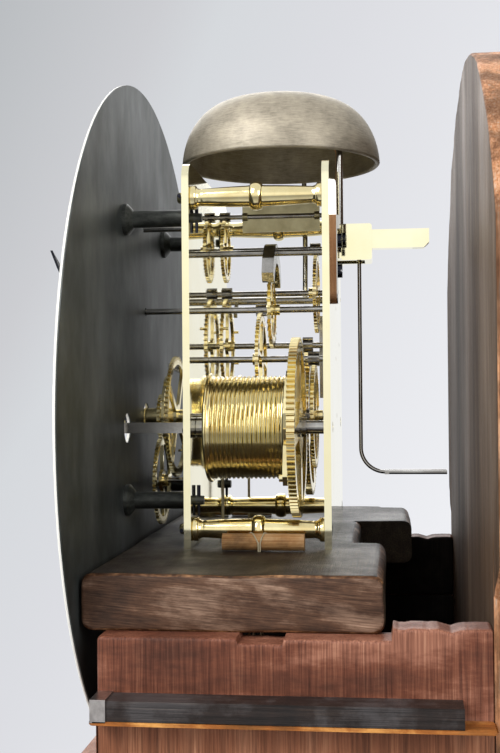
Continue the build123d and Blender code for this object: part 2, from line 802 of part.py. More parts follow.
def hammer_spring():
    """The hammer's blade spring, with its foot on the back plate."""
    x = -plate_width / 2 + 2.0
    foot = block(x, x + 9.0, back_inner - 2.2, back_inner, 62.0, 70.0)
    blade = block(x, x + 0.7, back_inner - 8.0, back_inner - 2.2 + 0.5, 62.0, hammer_z - 8.0)
    movement("hammer_spring", foot + blade)


# Great wheels, barrels and winding arbors
great_pinion_y = great_wheel_y - great_pinion_margin
great_pinion_length = great_wheel_thickness + 2 * great_pinion_margin
ratchet_back = great_wheel_y - drum_gap
drum_back = ratchet_back - ratchet_thickness


def ratchet_disc(radius, count, depth, thickness):
    """A disc with saw teeth, on the XY plane."""
    points = []
    for tooth in range(count):
        angle = 2 * math.pi * tooth / count
        points.append(((radius - depth) * math.cos(angle), (radius - depth) * math.sin(angle)))
        points.append((radius * math.cos(angle), radius * math.sin(angle)))
    return extrude(make_face(Polyline(points, close=True)), thickness)


def barrel(x, front):
    """A grooved drum with its front flange and its ratchet, bored for the winding arbor."""
    pitch = (drum_back - front - drum_flange_thickness) / groove_count
    start = front + drum_flange_thickness
    profile = [(barrel_arbor_radius, front), (drum_flange_radius - 1.5, front),
               (drum_flange_radius - 1.5, start), (drum_radius, start)]
    for groove in range(groove_count):
        y = start + groove * pitch
        profile += [(drum_radius - groove_depth * 0.7, y + pitch * 0.25),
                    (drum_radius - groove_depth, y + pitch * 0.5),
                    (drum_radius - groove_depth * 0.7, y + pitch * 0.75), (drum_radius, y + pitch)]
    profile += [(barrel_arbor_radius, drum_back)]
    body = turned(profile, x, 0, barrel_z)
    ratchet = ratchet_disc(drum_flange_radius, ratchet_teeth, 1.6, ratchet_thickness)
    return body + (along_y(ratchet, x, drum_back, barrel_z) - hole(barrel_arbor_radius, drum_back,
                                                                   ratchet_back, x, barrel_z))


def great_wheel(x, teeth, module, direction):
    """A thick great wheel with the click that rides on its barrel's ratchet."""
    disc = toothed(teeth, module, great_wheel_thickness, wheel_addendum, wheel_dedendum, 0.24, 0.20, 0.05)
    disc -= windows(module * (teeth / 2 - 5.5), barrel_arbor_radius + 9.0, 4, 7.0, great_wheel_thickness)
    wheel = along_y(disc, x, great_wheel_y, barrel_z, -direction)
    wheel -= hole(barrel_arbor_radius + pivot_clearance, great_wheel_y, great_wheel_y + great_wheel_thickness,
                  x, barrel_z)
    nose = drum_flange_radius + click_gap
    seat = module * (teeth / 2 - 3.6)
    click = Polyline([(nose, -1.0), (nose + 0.6, -2.4), (seat - 0.8, 8.0), (seat - 2.0, 12.5),
                      (seat - 5.6, 12.0)], close=True)
    arm = along_y(extrude(make_face(click), ratchet_thickness), x, drum_back, barrel_z, 20)
    stud = along_y(Pos(seat - 3.1, 9.6) * Cylinder(1.5, 6.0), x, drum_back + 1.5, barrel_z, 20)
    stud -= block(x - 60, x + 60, great_wheel_y + great_wheel_thickness * 0.7, back_inner, 0, plate_height)
    return wheel + arm + stud


def winding_arbor(x, front):
    """A barrel arbor with a squared front end that comes out to the dial."""
    z = barrel_z
    body = rod(barrel_arbor_radius, -3.0, back_inner - end_shake, x, z)
    body += rod(barrel_pivot_radius, back_inner - end_shake, back_outer - end_shake, x, z)
    body += rod(barrel_arbor_radius + 1.6, plate_thickness + end_shake, front - 0.05, x, z)
    body += rod(barrel_arbor_radius + 1.4, great_wheel_y + great_wheel_thickness + 0.3,
                great_wheel_y + great_wheel_thickness + 2.3, x, z)
    half = winding_square / 2
    return body + block(x - half, x + half, dial_back - 1.0, -2.9, z - half, z + half)


def barrels():
    going = bearing(barrel_x, barrel_z, 0, centre_z)
    strike = bearing(-barrel_x, barrel_z, pin_x, pin_z)
    movement("going_barrel", barrel(barrel_x, going_drum_front))
    movement("strike_barrel", barrel(-barrel_x, strike_drum_front))
    movement("going_great_wheel", great_wheel(barrel_x, going_great_teeth, going_great_module, going))
    movement("strike_great_wheel", great_wheel(-barrel_x, strike_great_teeth, strike_great_module, strike))
    movement("going_winding_arbor", winding_arbor(barrel_x, going_drum_front))
    movement("strike_winding_arbor", winding_arbor(-barrel_x, strike_drum_front))


def centre_group():
    """The centre arbor and its wheel, and the cannon wheel that carries the minute hand."""
    back = bearing(0, centre_z, barrel_x, barrel_z)
    body = arbor(0, centre_z, y0=hand_minute_y - 3.0, radius=centre_arbor_radius)
    body += pinion_on(centre_pinion_leaves, going_great_module, great_pinion_y, great_pinion_length, 0,
                      centre_z, back)
    movement("centre_arbor", body)
    to_third = bearing(0, centre_z, third_x, third_z)
    movement("centre_wheel", wheel_on(centre_wheel_teeth, centre_module, centre_wheel_y, 0, centre_z,
                                      to_third,
                                      centre_arbor_radius))
    to_minute = bearing(0, centre_z, minute_x, minute_z)
    wheel = toothed(cannon_teeth, cannon_module, wheel_thickness, 0.85, wheel_dedendum, 0.24, 0.20, 0.07)
    cannon = along_y(wheel, 0, cannon_y, centre_z, -to_minute) + rod(cannon_radius, hand_minute_y, cannon_y,
                                                                     0, centre_z)
    cannon -= hole(cannon_bore, hand_minute_y, 0, 0, centre_z)
    nut = rod(cannon_radius + 1.4, hand_minute_y - hand_thickness - 1.2, hand_minute_y - hand_thickness, 0,
              centre_z)
    movement("cannon_wheel", cannon, nut - hole(cannon_bore, hand_minute_y - 4, 0, 0, centre_z))


def third_group():
    back = bearing(third_x, third_z, 0, centre_z)
    up = bearing(third_x, third_z, 0, escape_z)
    pinion_y = centre_wheel_y - (pinion_length - wheel_thickness) / 2
    body = arbor(third_x, third_z)
    movement("third_arbor", body + pinion_on(third_pinion_leaves, centre_module, pinion_y, pinion_length,
                                             third_x, third_z, back))
    movement("third_wheel", wheel_on(third_wheel_teeth, third_module, third_wheel_y, third_x, third_z, up,
                                     behind=False))


def escape_wheel():
    """The escape wheel: thin, four arms, thirty slanting pointed teeth."""
    step = 2 * math.pi / escape_wheel_teeth
    root = escape_radius - escape_tooth_depth
    form = ((root, -0.34), (escape_radius, -0.08), (escape_radius, 0.0), (root, 0.16))
    outline = []
    for tooth in range(escape_wheel_teeth):
        for radius, share in form:
            angle = (tooth + share) * step
            outline.append((radius * math.cos(angle), radius * math.sin(angle)))
    disc = extrude(make_face(Polyline(outline, close=True)), wheel_thickness)
    disc -= windows(root - escape_rim_width, collet_radius + 1.6, 4, 1.8, wheel_thickness)
    disc -= Cylinder(arbor_radius, wheel_thickness * 3)
    wheel = along_y(disc, 0, escape_wheel_y, escape_z)
    return wheel + collet(0, escape_wheel_y + wheel_thickness, escape_z, arbor_radius)


def escape_group():
    back = bearing(0, escape_z, third_x, third_z)
    pinion_y = third_wheel_y - (pinion_length - wheel_thickness) / 2
    body = arbor(0, escape_z)
    body += rod(seconds_hole_radius - 0.6, hand_seconds_y - 1.6, plate_thickness + end_shake + 1, 0, escape_z)
    body += pinion_on(escape_pinion_leaves, third_module, pinion_y, pinion_length, 0, escape_z, back)
    movement("escape_arbor", body)
    movement("escape_wheel", escape_wheel())


def anchor_pallets():
    """The recoil anchor on its arbor: two curved arms whose pallets embrace the escape wheel."""
    drop = pallet_z - escape_z
    tip = escape_radius + pallet_clearance
    half_span = math.radians(52)
    points = [(0, 4.2), (7.0, 2.6), (anchor_reach * 0.83, -4.0), (anchor_reach, -11.0)]
    nose_x = tip * math.sin(half_span) + 0.5
    nose_z = tip * math.cos(half_span) - drop
    right = [(nose_x + 2.2, nose_z + 0.6), (nose_x, nose_z + 0.0), (nose_x - 2.6, nose_z + 3.6),
             (nose_x - 5.2, nose_z + 6.6), (5.4, -5.6), (0, -4.8)]
    side = points + right
    outline = side + [(-x, z) for x, z in reversed(side) if x > 0]
    front = escape_wheel_y - (anchor_thickness - wheel_thickness) / 2
    shape = plate_of([(x, z + pallet_z) for x, z in outline], front, anchor_thickness)
    shape -= rod(tip, 0, back_inner, 0, escape_z)
    shoulder = plate_thickness + end_shake
    end = back_outer + cock_depth - end_shake
    body = rod(arbor_radius, shoulder, end - cock_wall, 0, pallet_z)
    body += rod(pivot_radius, end_shake, shoulder, 0, pallet_z)
    body += rod(pivot_radius, end - cock_wall, end, 0, pallet_z)
    movement("anchor_pallets", shape + body)


def crutch():
    """The crutch: a rod down from the pallet arbor that turns back into a fork for the pendulum rod."""
    low = pallet_z - crutch_drop
    path = [(0, crutch_y, pallet_z - arbor_radius - 0.6), (0, crutch_y, low),
            (0, crutch_y + crutch_back - fork_length, low)]
    stem = sweep(Plane(origin=path[0], z_dir=(0, 0, -1)) * Circle(crutch_radius),
                 path=FilletPolyline(*path, radius=crutch_bend))
    boss = rod(arbor_radius + 1.8, crutch_y - 1.6, crutch_y + 1.6, 0, pallet_z) - hole(arbor_radius, 0, 90, 0,
                                                                                       pallet_z)
    y0 = crutch_y + crutch_back - fork_length
    side = fork_half_gap + crutch_radius
    fork = block(-side - crutch_radius, side + crutch_radius, y0 - 1.2, y0 + 0.8, low - crutch_radius,
                 low + crutch_radius)
    for x in both(side):
        fork += rod(crutch_radius, y0, y0 + fork_length, x, low)
    movement("crutch", boss + stem + fork)


# Strike train: wheels by the front plate have their pinions by the back plate, and the other way about


def strike_train():
    back = bearing(pin_x, pin_z, -barrel_x, barrel_z)
    up = bearing(pin_x, pin_z, gathering_x, gathering_z)
    body = arbor(pin_x, pin_z)
    body += pinion_on(pin_pinion_leaves, strike_great_module, great_pinion_y, great_pinion_length, pin_x,
                      pin_z, back)
    movement("pin_wheel_arbor", body)
    wheel = wheel_on(pin_wheel_teeth, pin_module, pin_wheel_y, pin_x, pin_z, up)
    for pin in range(hammer_pin_count):
        angle = math.radians(360 * pin / hammer_pin_count + 22.5)
        x = pin_x + hammer_pin_circle * math.cos(angle)
        z = pin_z + hammer_pin_circle * math.sin(angle)
        wheel += rod(hammer_pin_radius, pin_wheel_y + 0.4, hammer_tail_y + 1.0, x, z)
    movement("pin_wheel", wheel)

    back = bearing(gathering_x, gathering_z, pin_x, pin_z)
    up = bearing(gathering_x, gathering_z, warning_x, warning_z)
    body = arbor(gathering_x, gathering_z)
    body += pinion_on(gathering_pinion_leaves, pin_module, front_pinion_y, pinion_length, gathering_x,
                      gathering_z, back)
    body += rod(arbor_radius, rack_y - 0.4, plate_thickness + end_shake + 1, gathering_x, gathering_z)
    toward = math.radians(bearing(gathering_x, gathering_z, rack_pivot_x, rack_pivot_z))
    pallet = Circle(arbor_radius + 1.2) + Pos(gathering_reach / 2, 0) * Rectangle(gathering_reach, 1.6)
    body += along_y(extrude(pallet, lever_thickness), gathering_x, rack_y, gathering_z, -math.degrees(toward))
    movement("gathering_arbor", body)
    movement("gathering_wheel", wheel_on(gathering_wheel_teeth, gathering_module, gathering_wheel_y,
                                         gathering_x,
                                         gathering_z, up, behind=False))

    back = bearing(warning_x, warning_z, gathering_x, gathering_z)
    up = bearing(warning_x, warning_z, fly_x, fly_z)
    pinion_y = gathering_wheel_y - (pinion_length - wheel_thickness) / 2
    body = arbor(warning_x, warning_z)
    movement("warning_arbor", body + pinion_on(warning_pinion_leaves, gathering_module, pinion_y,
                                               pinion_length,
                                               warning_x, warning_z, back))
    movement("warning_wheel", wheel_on(warning_wheel_teeth, warning_module, warning_wheel_y, warning_x,
                                       warning_z, up))

    back = bearing(fly_x, fly_z, warning_x, warning_z)
    body = arbor(fly_x, fly_z, radius=fly_arbor_radius)
    movement("fly_arbor", body + pinion_on(fly_pinion_leaves, warning_module, front_pinion_y, pinion_length,
                                           fly_x, fly_z, back))
    vane = block(-fly_radius, fly_radius, 0, fly_length, -fly_thickness / 2, fly_thickness / 2)
    ends = rod(2.0, 0, 2.6, 0, 0) + rod(2.0, fly_length - 2.6, fly_length, 0, 0)
    blade = vane + ends - hole(fly_arbor_radius, 0, fly_length, 0, 0)
    movement("fly", Pos(fly_x, fly_front, fly_z) * Rot(0, fly_rest, 0) * blade)


def motion_work():
    """The minute wheel, the hour wheel with its snail, and the twenty-four-hour date wheel."""
    to_centre = bearing(minute_x, minute_z, 0, centre_z)
    flat = Rot(0, 0, 180.0 / minute_wheel_teeth)
    wheel = flat * toothed(minute_wheel_teeth, cannon_module, wheel_thickness, 0.85, wheel_dedendum, 0.24,
                           0.20, 0.07)
    body = along_y(wheel, minute_x, cannon_y, minute_z, -to_centre)
    length = pinion_length - 1.0
    body += pinion_on(minute_pinion_leaves, hour_module, hour_wheel_y - 1.3, length, minute_x, minute_z,
                      to_centre)
    body += rod(2.2, hour_wheel_y + wheel_thickness + run_gap, cannon_y, minute_x, minute_z)
    body += rod(lift_pin_radius, lift_y - 0.5, cannon_y + 0.4, minute_x + lift_pin_circle, minute_z)
    bore = minute_stud_radius + pivot_clearance
    movement("minute_wheel", body - hole(bore, hour_wheel_y - 4, 0, minute_x, minute_z))

    to_minute = bearing(0, centre_z, minute_x, minute_z)
    wheel = crossed_wheel(hour_wheel_teeth, hour_module, wheel_thickness, hour_bore, hour_pipe_radius + 1.6)
    body = along_y(wheel, 0, hour_wheel_y, centre_z, -to_minute)
    body += rod(hour_pipe_radius, hand_hour_y, hour_wheel_y + 0.4, 0, centre_z)
    body += along_y(extrude(snail_outline(), lever_thickness), 0, snail_y, centre_z)
    body += along_y(toothed(date_pinion_leaves, date_module, wheel_thickness, 0.85, wheel_dedendum, 0.24,
                            0.20, 0.07),
                    0, date_wheel_y, centre_z, 90)
    movement("hour_wheel", body - hole(hour_bore, hand_hour_y, hour_wheel_y + wheel_thickness, 0, centre_z))

    wheel = Rot(0, 0, 180.0 / date_wheel_teeth) * crossed_wheel(date_wheel_teeth, date_module,
                                                                wheel_thickness,
                                                                date_stud_radius + pivot_clearance, 5.0)
    body = along_y(wheel, 0, date_wheel_y, date_z, -90)
    hub = rod(2.8, date_wheel_y - 0.4, date_wheel_y + wheel_thickness + 2.4, 0, date_z)
    movement("date_wheel", body + hub - hole(date_stud_radius + pivot_clearance, date_wheel_y, 0, 0, date_z))


def snail_outline():
    """The hour snail: twelve steps of 30 degrees, each cut deeper than the last."""
    points = []
    for step in range(snail_steps):
        radius = snail_low + snail_step * step
        for share in range(7):
            angle = -math.radians(snail_start + (step + share / 6.0) * 360.0 / snail_steps)
            points.append((radius * math.cos(angle), radius * math.sin(angle)))
    return make_face(Polyline(points, close=True))


def hand_outline(length, tail, root, tip, boss):
    """A plain tapering hand with a round boss, pointing along +X."""
    shape = make_face(Polyline([(-tail, -root), (boss, -root), (length * 0.93, -tip), (length, 0),
                                (length * 0.93, tip), (boss, root), (-tail, root)], close=True))
    return shape + Circle(boss)


def hands():
    """Minute, hour and seconds hands, set to the time of rest."""
    minute_turn = minutes_past * 6.0
    hour_turn = minutes_past * 0.5
    boss = cannon_radius + 2.2
    minute = extrude(hand_outline(minute_hand_length, boss, 2.4, 0.9, boss), hand_thickness)
    minute = along_y(minute, 0, hand_minute_y - hand_thickness, centre_z, minute_turn - 90.0)
    movement("minute_hand", minute - hole(cannon_radius, hand_minute_y - 4, hand_minute_y, 0, centre_z))
    boss = hour_pipe_radius + 2.6
    hour = extrude(hand_outline(hour_hand_length, boss, 3.2, 1.4, boss), hand_thickness)
    hour = along_y(hour, 0, hand_hour_y - hand_thickness, centre_z, hour_turn - 90.0)
    movement("hour_hand", hour - hole(hour_pipe_radius, hand_hour_y - 2, hand_hour_y, 0, centre_z))
    seconds_bore = seconds_hole_radius - 0.6
    seconds = extrude(hand_outline(seconds_hand_length, 7.0, 0.8, 0.4, 2.6), hand_thickness * 0.7)
    seconds = along_y(seconds, 0, hand_seconds_y - hand_thickness * 0.7, escape_z, -90.0)
    movement("seconds_hand", seconds - hole(seconds_bore, hand_seconds_y - 2, hand_seconds_y, 0, escape_z))


def polar(radius, degrees, x, z):
    """A point at a distance and direction from a pivot."""
    return (x + radius * math.cos(math.radians(degrees)), z + radius * math.sin(math.radians(degrees)))


def tapered_arm(x, z, direction, length, half_angle, y0):
    """A flat arm from a pivot that ends as wide as twice the half angle spans there."""
    corners = [polar(lever_root, direction - 90, x, z), polar(length, direction - half_angle, x, z),
               polar(length, direction + half_angle, x, z), polar(lever_root, direction + 90, x, z)]
    return plate_of(corners, y0, lever_thickness)


def rack():
    """The rack: a toothed sector and its arm behind, a tail in the snail's plane, and the pipe between."""
    x, z = rack_pivot_x, rack_pivot_z
    inner = rack_radius - rack_width
    count = int((rack_last_angle - rack_first_angle) / rack_tooth_angle)
    outline = []
    for tooth in range(count):
        angle = rack_first_angle + tooth * rack_tooth_angle
        outline.append(polar(rack_radius - rack_tooth_depth, angle, x, z))
        outline.append(polar(rack_radius, angle + rack_tooth_angle * 0.15, x, z))
    steps = int((rack_last_angle - rack_first_angle) / rack_inner_step)
    outline += [polar(inner, rack_last_angle - step * rack_inner_step, x, z) for step in range(steps + 1)]
    middle = (rack_first_angle + rack_last_angle) / 2
    tail_angle = bearing(x, z, 0, centre_z) + rack_tail_lift
    body = plate_of(outline, rack_y, lever_thickness)
    body += tapered_arm(x, z, middle, inner + 0.5, 3.5, rack_y)
    body += tapered_arm(x, z, tail_angle, rack_tail_length, 1.4, snail_y)
    body += rod(lever_boss, snail_y - 0.2, rack_y + lever_thickness + 0.2, x, z)
    movement("rack", body - hole(lever_bore, snail_y, 0, x, z))


def rack_hook():
    """The rack hook: a flat arm whose nose stands just above the rack's teeth."""
    x, z = hook_pivot_x, hook_pivot_z
    nose = polar(rack_radius + run_gap, rack_hook_angle, rack_pivot_x, rack_pivot_z)
    lean = bearing(x, z, *nose)
    reach = math.dist((x, z), nose)
    arm = plate_of([polar(lever_root, lean - 90, x, z), polar(reach - 2.0, lean - 3.0, x, z), nose,
                    polar(reach - 1.0, lean + 4.5, x, z), polar(lever_root, lean + 90, x, z)],
                   rack_y, lever_thickness)
    boss = rod(lever_boss, rack_y - 0.2, -stud_shoulder - 0.2, x, z)
    movement("rack_hook", arm + boss - hole(lever_bore, rack_y, 0, x, z))


def lifting_piece():
    """The lifting piece: a bent arm from its stud, past the minute wheel's pin, up to the rack hook."""
    x, z = lift_pivot_x, lift_pivot_z
    side = minute_x - lift_pin_circle - lift_pin_radius - lift_width / 2 - lift_gap
    low, high = minute_z - lift_straight, barrel_z + lift_straight
    route = [(x, z), (side, low), (side, high), (lift_end_x, lift_end_z)]
    arm = rod(lever_boss, lift_y - 0.2, -stud_shoulder - 0.2, x, z)
    arm += rod(lift_pin_radius, lift_y, rack_y + lever_thickness, lift_end_x, lift_end_z)
    end = Circle(lift_width / 2)
    for (x0, z0), (x1, z1) in zip(route, route[1:]):
        length = math.dist((x0, z0), (x1, z1))
        bar = Pos(length / 2, 0) * Rectangle(length, lift_width) + end + Pos(length, 0) * end
        arm += along_y(extrude(bar, lever_thickness), x0, lift_y, z0, -bearing(x0, z0, x1, z1))
    movement("lifting_piece", arm - hole(lever_bore, lift_y, 0, x, z))


def line_ends(side):
    """Where a line leaves its drum and where it comes up to its toggle, in the movement's frame. Both
    lines hang on the left of their drums, seen from the dial, so both drums are wound clockwise."""
    toggle, front, y = (near_toggle, going_drum_front, near_toggle_line) if side > 0 else (
        far_toggle, strike_drum_front, far_toggle_line)
    start = Vector(side * barrel_x - drum_radius - gut_radius - 0.1, front + drum_flange_thickness + gut_radius,
                   barrel_z)
    return start, Vector(toggle[0], y, -1.0)


def seatboard():
    """The worn oak board, notched behind for the pendulum, with slots for the lines. Its back edge
    stands further out on the far side of the notch."""
    half = seat_length / 2
    back = seat_front + seat_depth
    board = block(-half, half, seat_front, back, -seat_thickness, 0)
    board += block(1 - cheek_inner, -seat_notch_far, back - seat_notch_depth, back + seat_tongue_depth,
                   -seat_thickness, 0)
    board = fillet(board.edges().filter_by(Axis.X), seat_edge_round)
    board -= block(-seat_notch_far, seat_notch_near, back - seat_notch_depth, back + seat_tongue_depth + 9,
                   -seat_thickness - 1, 9)
    for side in (1, -1):
        start, end = line_ends(side)
        board -= block(start.X - line_slot_half, start.X + line_slot_half, start.Y - line_slot_half,
                       start.Y + line_slot_half, -seat_thickness - 1, 9)
        drill = Cylinder(toggle_hole_radius, seat_thickness + 9)
        board -= Pos(end.X, end.Y, -seat_thickness / 2) * drill
    movement("seatboard", board)


def line_toggles():
    """Two wooden sticks that hold the lines' ends on top of the seatboard."""
    movement("line_toggles", *[rod(r, y0, y1, x, r + 0.05) for x, y0, y1, r in (near_toggle, far_toggle)])


def lines_and_pulleys():
    """Each gut line: down from its drum, round a pulley in the trunk, and up to its toggle."""
    lines = []
    pulleys = []
    for side in (1, -1):
        start, end = line_ends(side)
        middle = (start + end) * 0.5
        across = Vector(end.X - start.X, end.Y - start.Y, 0).normalized()
        reach = pulley_groove_radius + gut_radius + 0.6
        low = -pulley_drop - reach
        corners = [start, Vector(middle.X, middle.Y, low) - across * reach,
                   Vector(middle.X, middle.Y, low) + across * reach, end]
        bend = reach * 0.95
        wire = FilletPolyline(*corners, radius=bend)
        print(f"gut line: radius {gut_radius} mm, length {wire.length:.0f} mm, both bends {bend:.2f} mm")
        lines.append(sweep(Plane(origin=start, z_dir=corners[1] - start) * Circle(gut_radius), path=wire))
        turn = math.degrees(math.atan2(across.Y, across.X))
        r, half = pulley_groove_radius, pulley_thickness / 2
        profile = [(1.6, -half), (r + 3.0, -half), (r + 3.0, -half + 1.2), (r, -0.8), (r, 0.8),
                   (r + 3.0, half - 1.2),
                   (r + 3.0, half), (1.6, half)]
        centre = Vector(middle.X, middle.Y, -pulley_drop)
        sheave = turned(profile, 0, 0, 0)
        strap = half + 0.5
        cheeks = None
        for y0 in (-strap - 1.4, strap):
            piece = block(-4, 4, y0, y0 + 1.4, -r - 14, 5) - hole(1.5, y0, y0 + 1.4, 0, 0)
            cheeks = piece if cheeks is None else cheeks + piece
        cheeks += block(-4, 4, -strap - 1.4, strap + 1.4, -r - 15.4, -r - 14)
        pin = rod(1.5, -strap - 2.4, strap + 2.4, 0, 0)
        for piece in (sheave, cheeks, pin):
            pulleys.append(Pos(centre.X, centre.Y, centre.Z) * Rot(0, 0, turn) * piece)
    movement("gut_lines", *lines)
    movement("line_pulleys", *pulleys)


# Faces of the case, from the floor's middle
trunk_front = plate_face + cheek_front - trunk_front_thickness
base_front = trunk_front - base_step
base_half = base_width / 2
opening_half = trunk_width / 2 - stile_width
opening_low = trunk_bottom + bottom_rail_height
opening_high = trunk_top - top_rail_height


def case_sides():
    """The two trunk sides, whose tops rise as cheeks that carry the seatboard."""
    sides = []
    for side in (-1, 1):
        x0, x1 = sorted((side * cheek_inner, side * cheek_half))
        board = block(x0, x1, plate_face + cheek_front, backboard_front, trunk_bottom, seat_bottom)
        step_front = plate_face + seat_front + seat_depth + 2.0
        board += block(x0, x1, step_front, backboard_front, seat_bottom, seat_bottom + cheek_back_rise)
        sides.append(board)
    save("case_sides", sides)


def backboard():
    """One long board, trunk wide, with a wider arched head behind the movement."""
    half = trunk_width / 2
    head = backboard_head_width / 2
    y0 = backboard_front
    shoulder = seat_top + backboard_shoulder
    top = seat_top + backboard_above_seat
    low = seat_top + backboard_head_low
    edge = [Line((-half, 0), (half, 0)), Line((half, 0), (half, low - backboard_head_ramp)),
            Line((half, low - backboard_head_ramp), (head, low)), Line((head, low), (head, shoulder)),
            ThreePointArc((head, shoulder), (0, top), (-head, shoulder)), Line((-head, shoulder),
                                                                               (-head, low)),
            Line((-head, low), (-half, low - backboard_head_ramp)), Line((-half, low - backboard_head_ramp),
                                                                         (-half, 0))]
    board = extrude(make_face(edge), backboard_thickness)
    save("backboard", [Pos(0, y0 + backboard_thickness, 0) * Rot(90, 0, 0) * board])


def hood_rails():
    """Rails on the cheeks that keep the hood from tipping, with a folded metal cap on each front end."""
    rails = []
    caps = []
    z1 = seat_top - rail_drop
    z0 = z1 - rail_height
    y0 = plate_face + cheek_front + rail_cap_wall + 0.5
    for side in (-1, 1):
        x0, x1 = sorted((side * cheek_half, side * (cheek_half + rail_thickness)))
        rails.append(block(x0, x1, y0, backboard_front - rail_back_inset, z0, z1))
        w = rail_cap_wall
        c0, c1 = sorted((side * cheek_half, side * (cheek_half + rail_thickness + w)))
        cap = block(c0, c1, y0 - w, y0 + rail_cap_length, z0 - w, z1 + w) - block(x0, x1, y0, y0 + 99, z0, z1)
        caps.append(cap)
    save("hood_rails", rails)
    save("rail_caps", caps)


def trunk_frame():
    """The frame round the trunk door: two stiles, a top rail and a bottom rail."""
    half = trunk_width / 2
    y0, y1 = trunk_front, trunk_front + trunk_front_thickness
    pieces = [block(-half, -opening_half, y0, y1, trunk_bottom, trunk_top),
              block(opening_half, half, y0, y1, trunk_bottom, trunk_top),
              block(-opening_half, opening_half, y0, y1, trunk_bottom, opening_low),
              block(-opening_half, opening_half, y0, y1, opening_high, trunk_top)]
    save("trunk_frame", pieces)


def moulding(half, front, z0, section):
    """A moulding mitred round the front and both sides of a box, from a section in outward and
    downward steps."""
    path = Polyline([(-half, case_back, z0), (-half, front, z0), (half, front, z0), (half, case_back, z0)])
    start = Plane(origin=(-half, case_back, z0), x_dir=(-1, 0, 0), z_dir=(0, -1, 0))
    face = make_face(section)
    return sweep(start * face, path=path, transition=Transition.RIGHT)


def case_mouldings():
    """The hood moulding at the trunk's top and the cove between trunk and base."""
    half = trunk_width / 2
    out, high = moulding_projection, moulding_height
    upper = [Line((0, 0), (0, -high)), Line((0, -high), (out, -high)), Line((out, -high), (out, -high + 7.0)),
             ThreePointArc((out, -high + 7.0), (out * 0.42, -high * 0.5), (3.0, -4.0)), Line((3.0, -4.0),
                                                                                             (3.0, 0)),
             Line((3.0, 0), (0, 0))]
    step = base_step
    lower = [Line((0, 0), (0, -high)), Line((0, -high), (3.0, -high)), Line((3.0, -high), (3.0, -high + 4.0)),
             ThreePointArc((3.0, -high + 4.0), (step * 0.45, -high * 0.42), (step, -7.0)), Line((step, -7.0),
                                                                                                (step, 0)),
             Line((step, 0), (0, 0))]
    save("case_mouldings", [moulding(half, trunk_front, trunk_top - high, upper),
                            moulding(half, trunk_front, trunk_bottom, lower)])


def case_base():
    """The base box of front and sides, its back rails and bottom, and the plinth skirt round its foot."""
    t = panel_thickness
    half = base_half
    back = backboard_front
    pieces = [block(-half, half, base_front, base_front + t, 0, trunk_bottom),
              block(-half, -half + t, base_front + t, case_back, 0, trunk_bottom),
              block(half - t, half, base_front + t, case_back, 0, trunk_bottom)]
    inner = half - t
    pieces.append(block(-inner, inner, base_front + t, back, plinth_height - t, plinth_height))
    inside_front = trunk_front + trunk_front_thickness
    pieces.append(block(-inner, inner, base_front + t, inside_front, trunk_bottom - t, trunk_bottom))
    s = plinth_step
    pieces.append(block(-half - s, half + s, base_front - s, base_front, 0, plinth_height))
    for side in (-1, 1):
        x0, x1 = sorted((side * half, side * (half + s)))
        pieces.append(block(x0, x1, base_front, case_back, 0, plinth_height))
        x0, x1 = sorted((side * cheek_inner, side * inner))
        pieces.append(block(x0, x1, inside_front, back, trunk_bottom - t, trunk_bottom))
        x0, x1 = sorted((side * trunk_width / 2, side * inner))
        pieces.append(block(x0, x1, back, case_back, 0, trunk_bottom))
    save("case_base", pieces)


def trunk_door():
    """The long trunk door with a rounded edge."""
    half = opening_half - door_gap
    door = block(-half, half, trunk_front, trunk_front + door_thickness, opening_low + door_gap,
                 opening_high - door_gap)
    door = fillet(door.edges().group_by(Axis.Y)[0], 2.5)
    door -= keyhole(trunk_front - 1, trunk_front + door_thickness + 1)
    save("trunk_door", [door])


key_x = -opening_half + 16.0
key_z = (opening_low + opening_high) / 2 + 40.0


def keyhole(y0, y1):
    """A keyhole as a cutting shape: a round and a slot below it."""
    return rod(2.2, y0, y1, key_x, key_z) + block(key_x - 1.1, key_x + 1.1, y0, y1, key_z - 9.0, key_z)


def lock_pieces():
    """The escutcheon on the door's face and the lock's case behind it."""
    half_width, half_height = lock_plate_width / 2, lock_plate_height / 2
    plate = block(key_x - half_width, key_x + half_width, trunk_front - 1.2, trunk_front,
                  key_z - half_height - 3,
                  key_z + half_height - 3)
    plate = fillet(plate.edges().filter_by(Axis.Y), 5.0) - keyhole(trunk_front - 2, trunk_front + 1)
    back = trunk_front + door_thickness
    case = block(key_x - 13, key_x + 9, back, back + 9.0, key_z - 25, key_z + 19) - keyhole(back - 1,
                                                                                            back + 10)
    return [plate, case]


hinge_x = opening_half - door_gap / 2
hinge_y = trunk_front - hinge_barrel_radius
hinge_heights = (opening_low + 110.0, opening_high - 110.0)


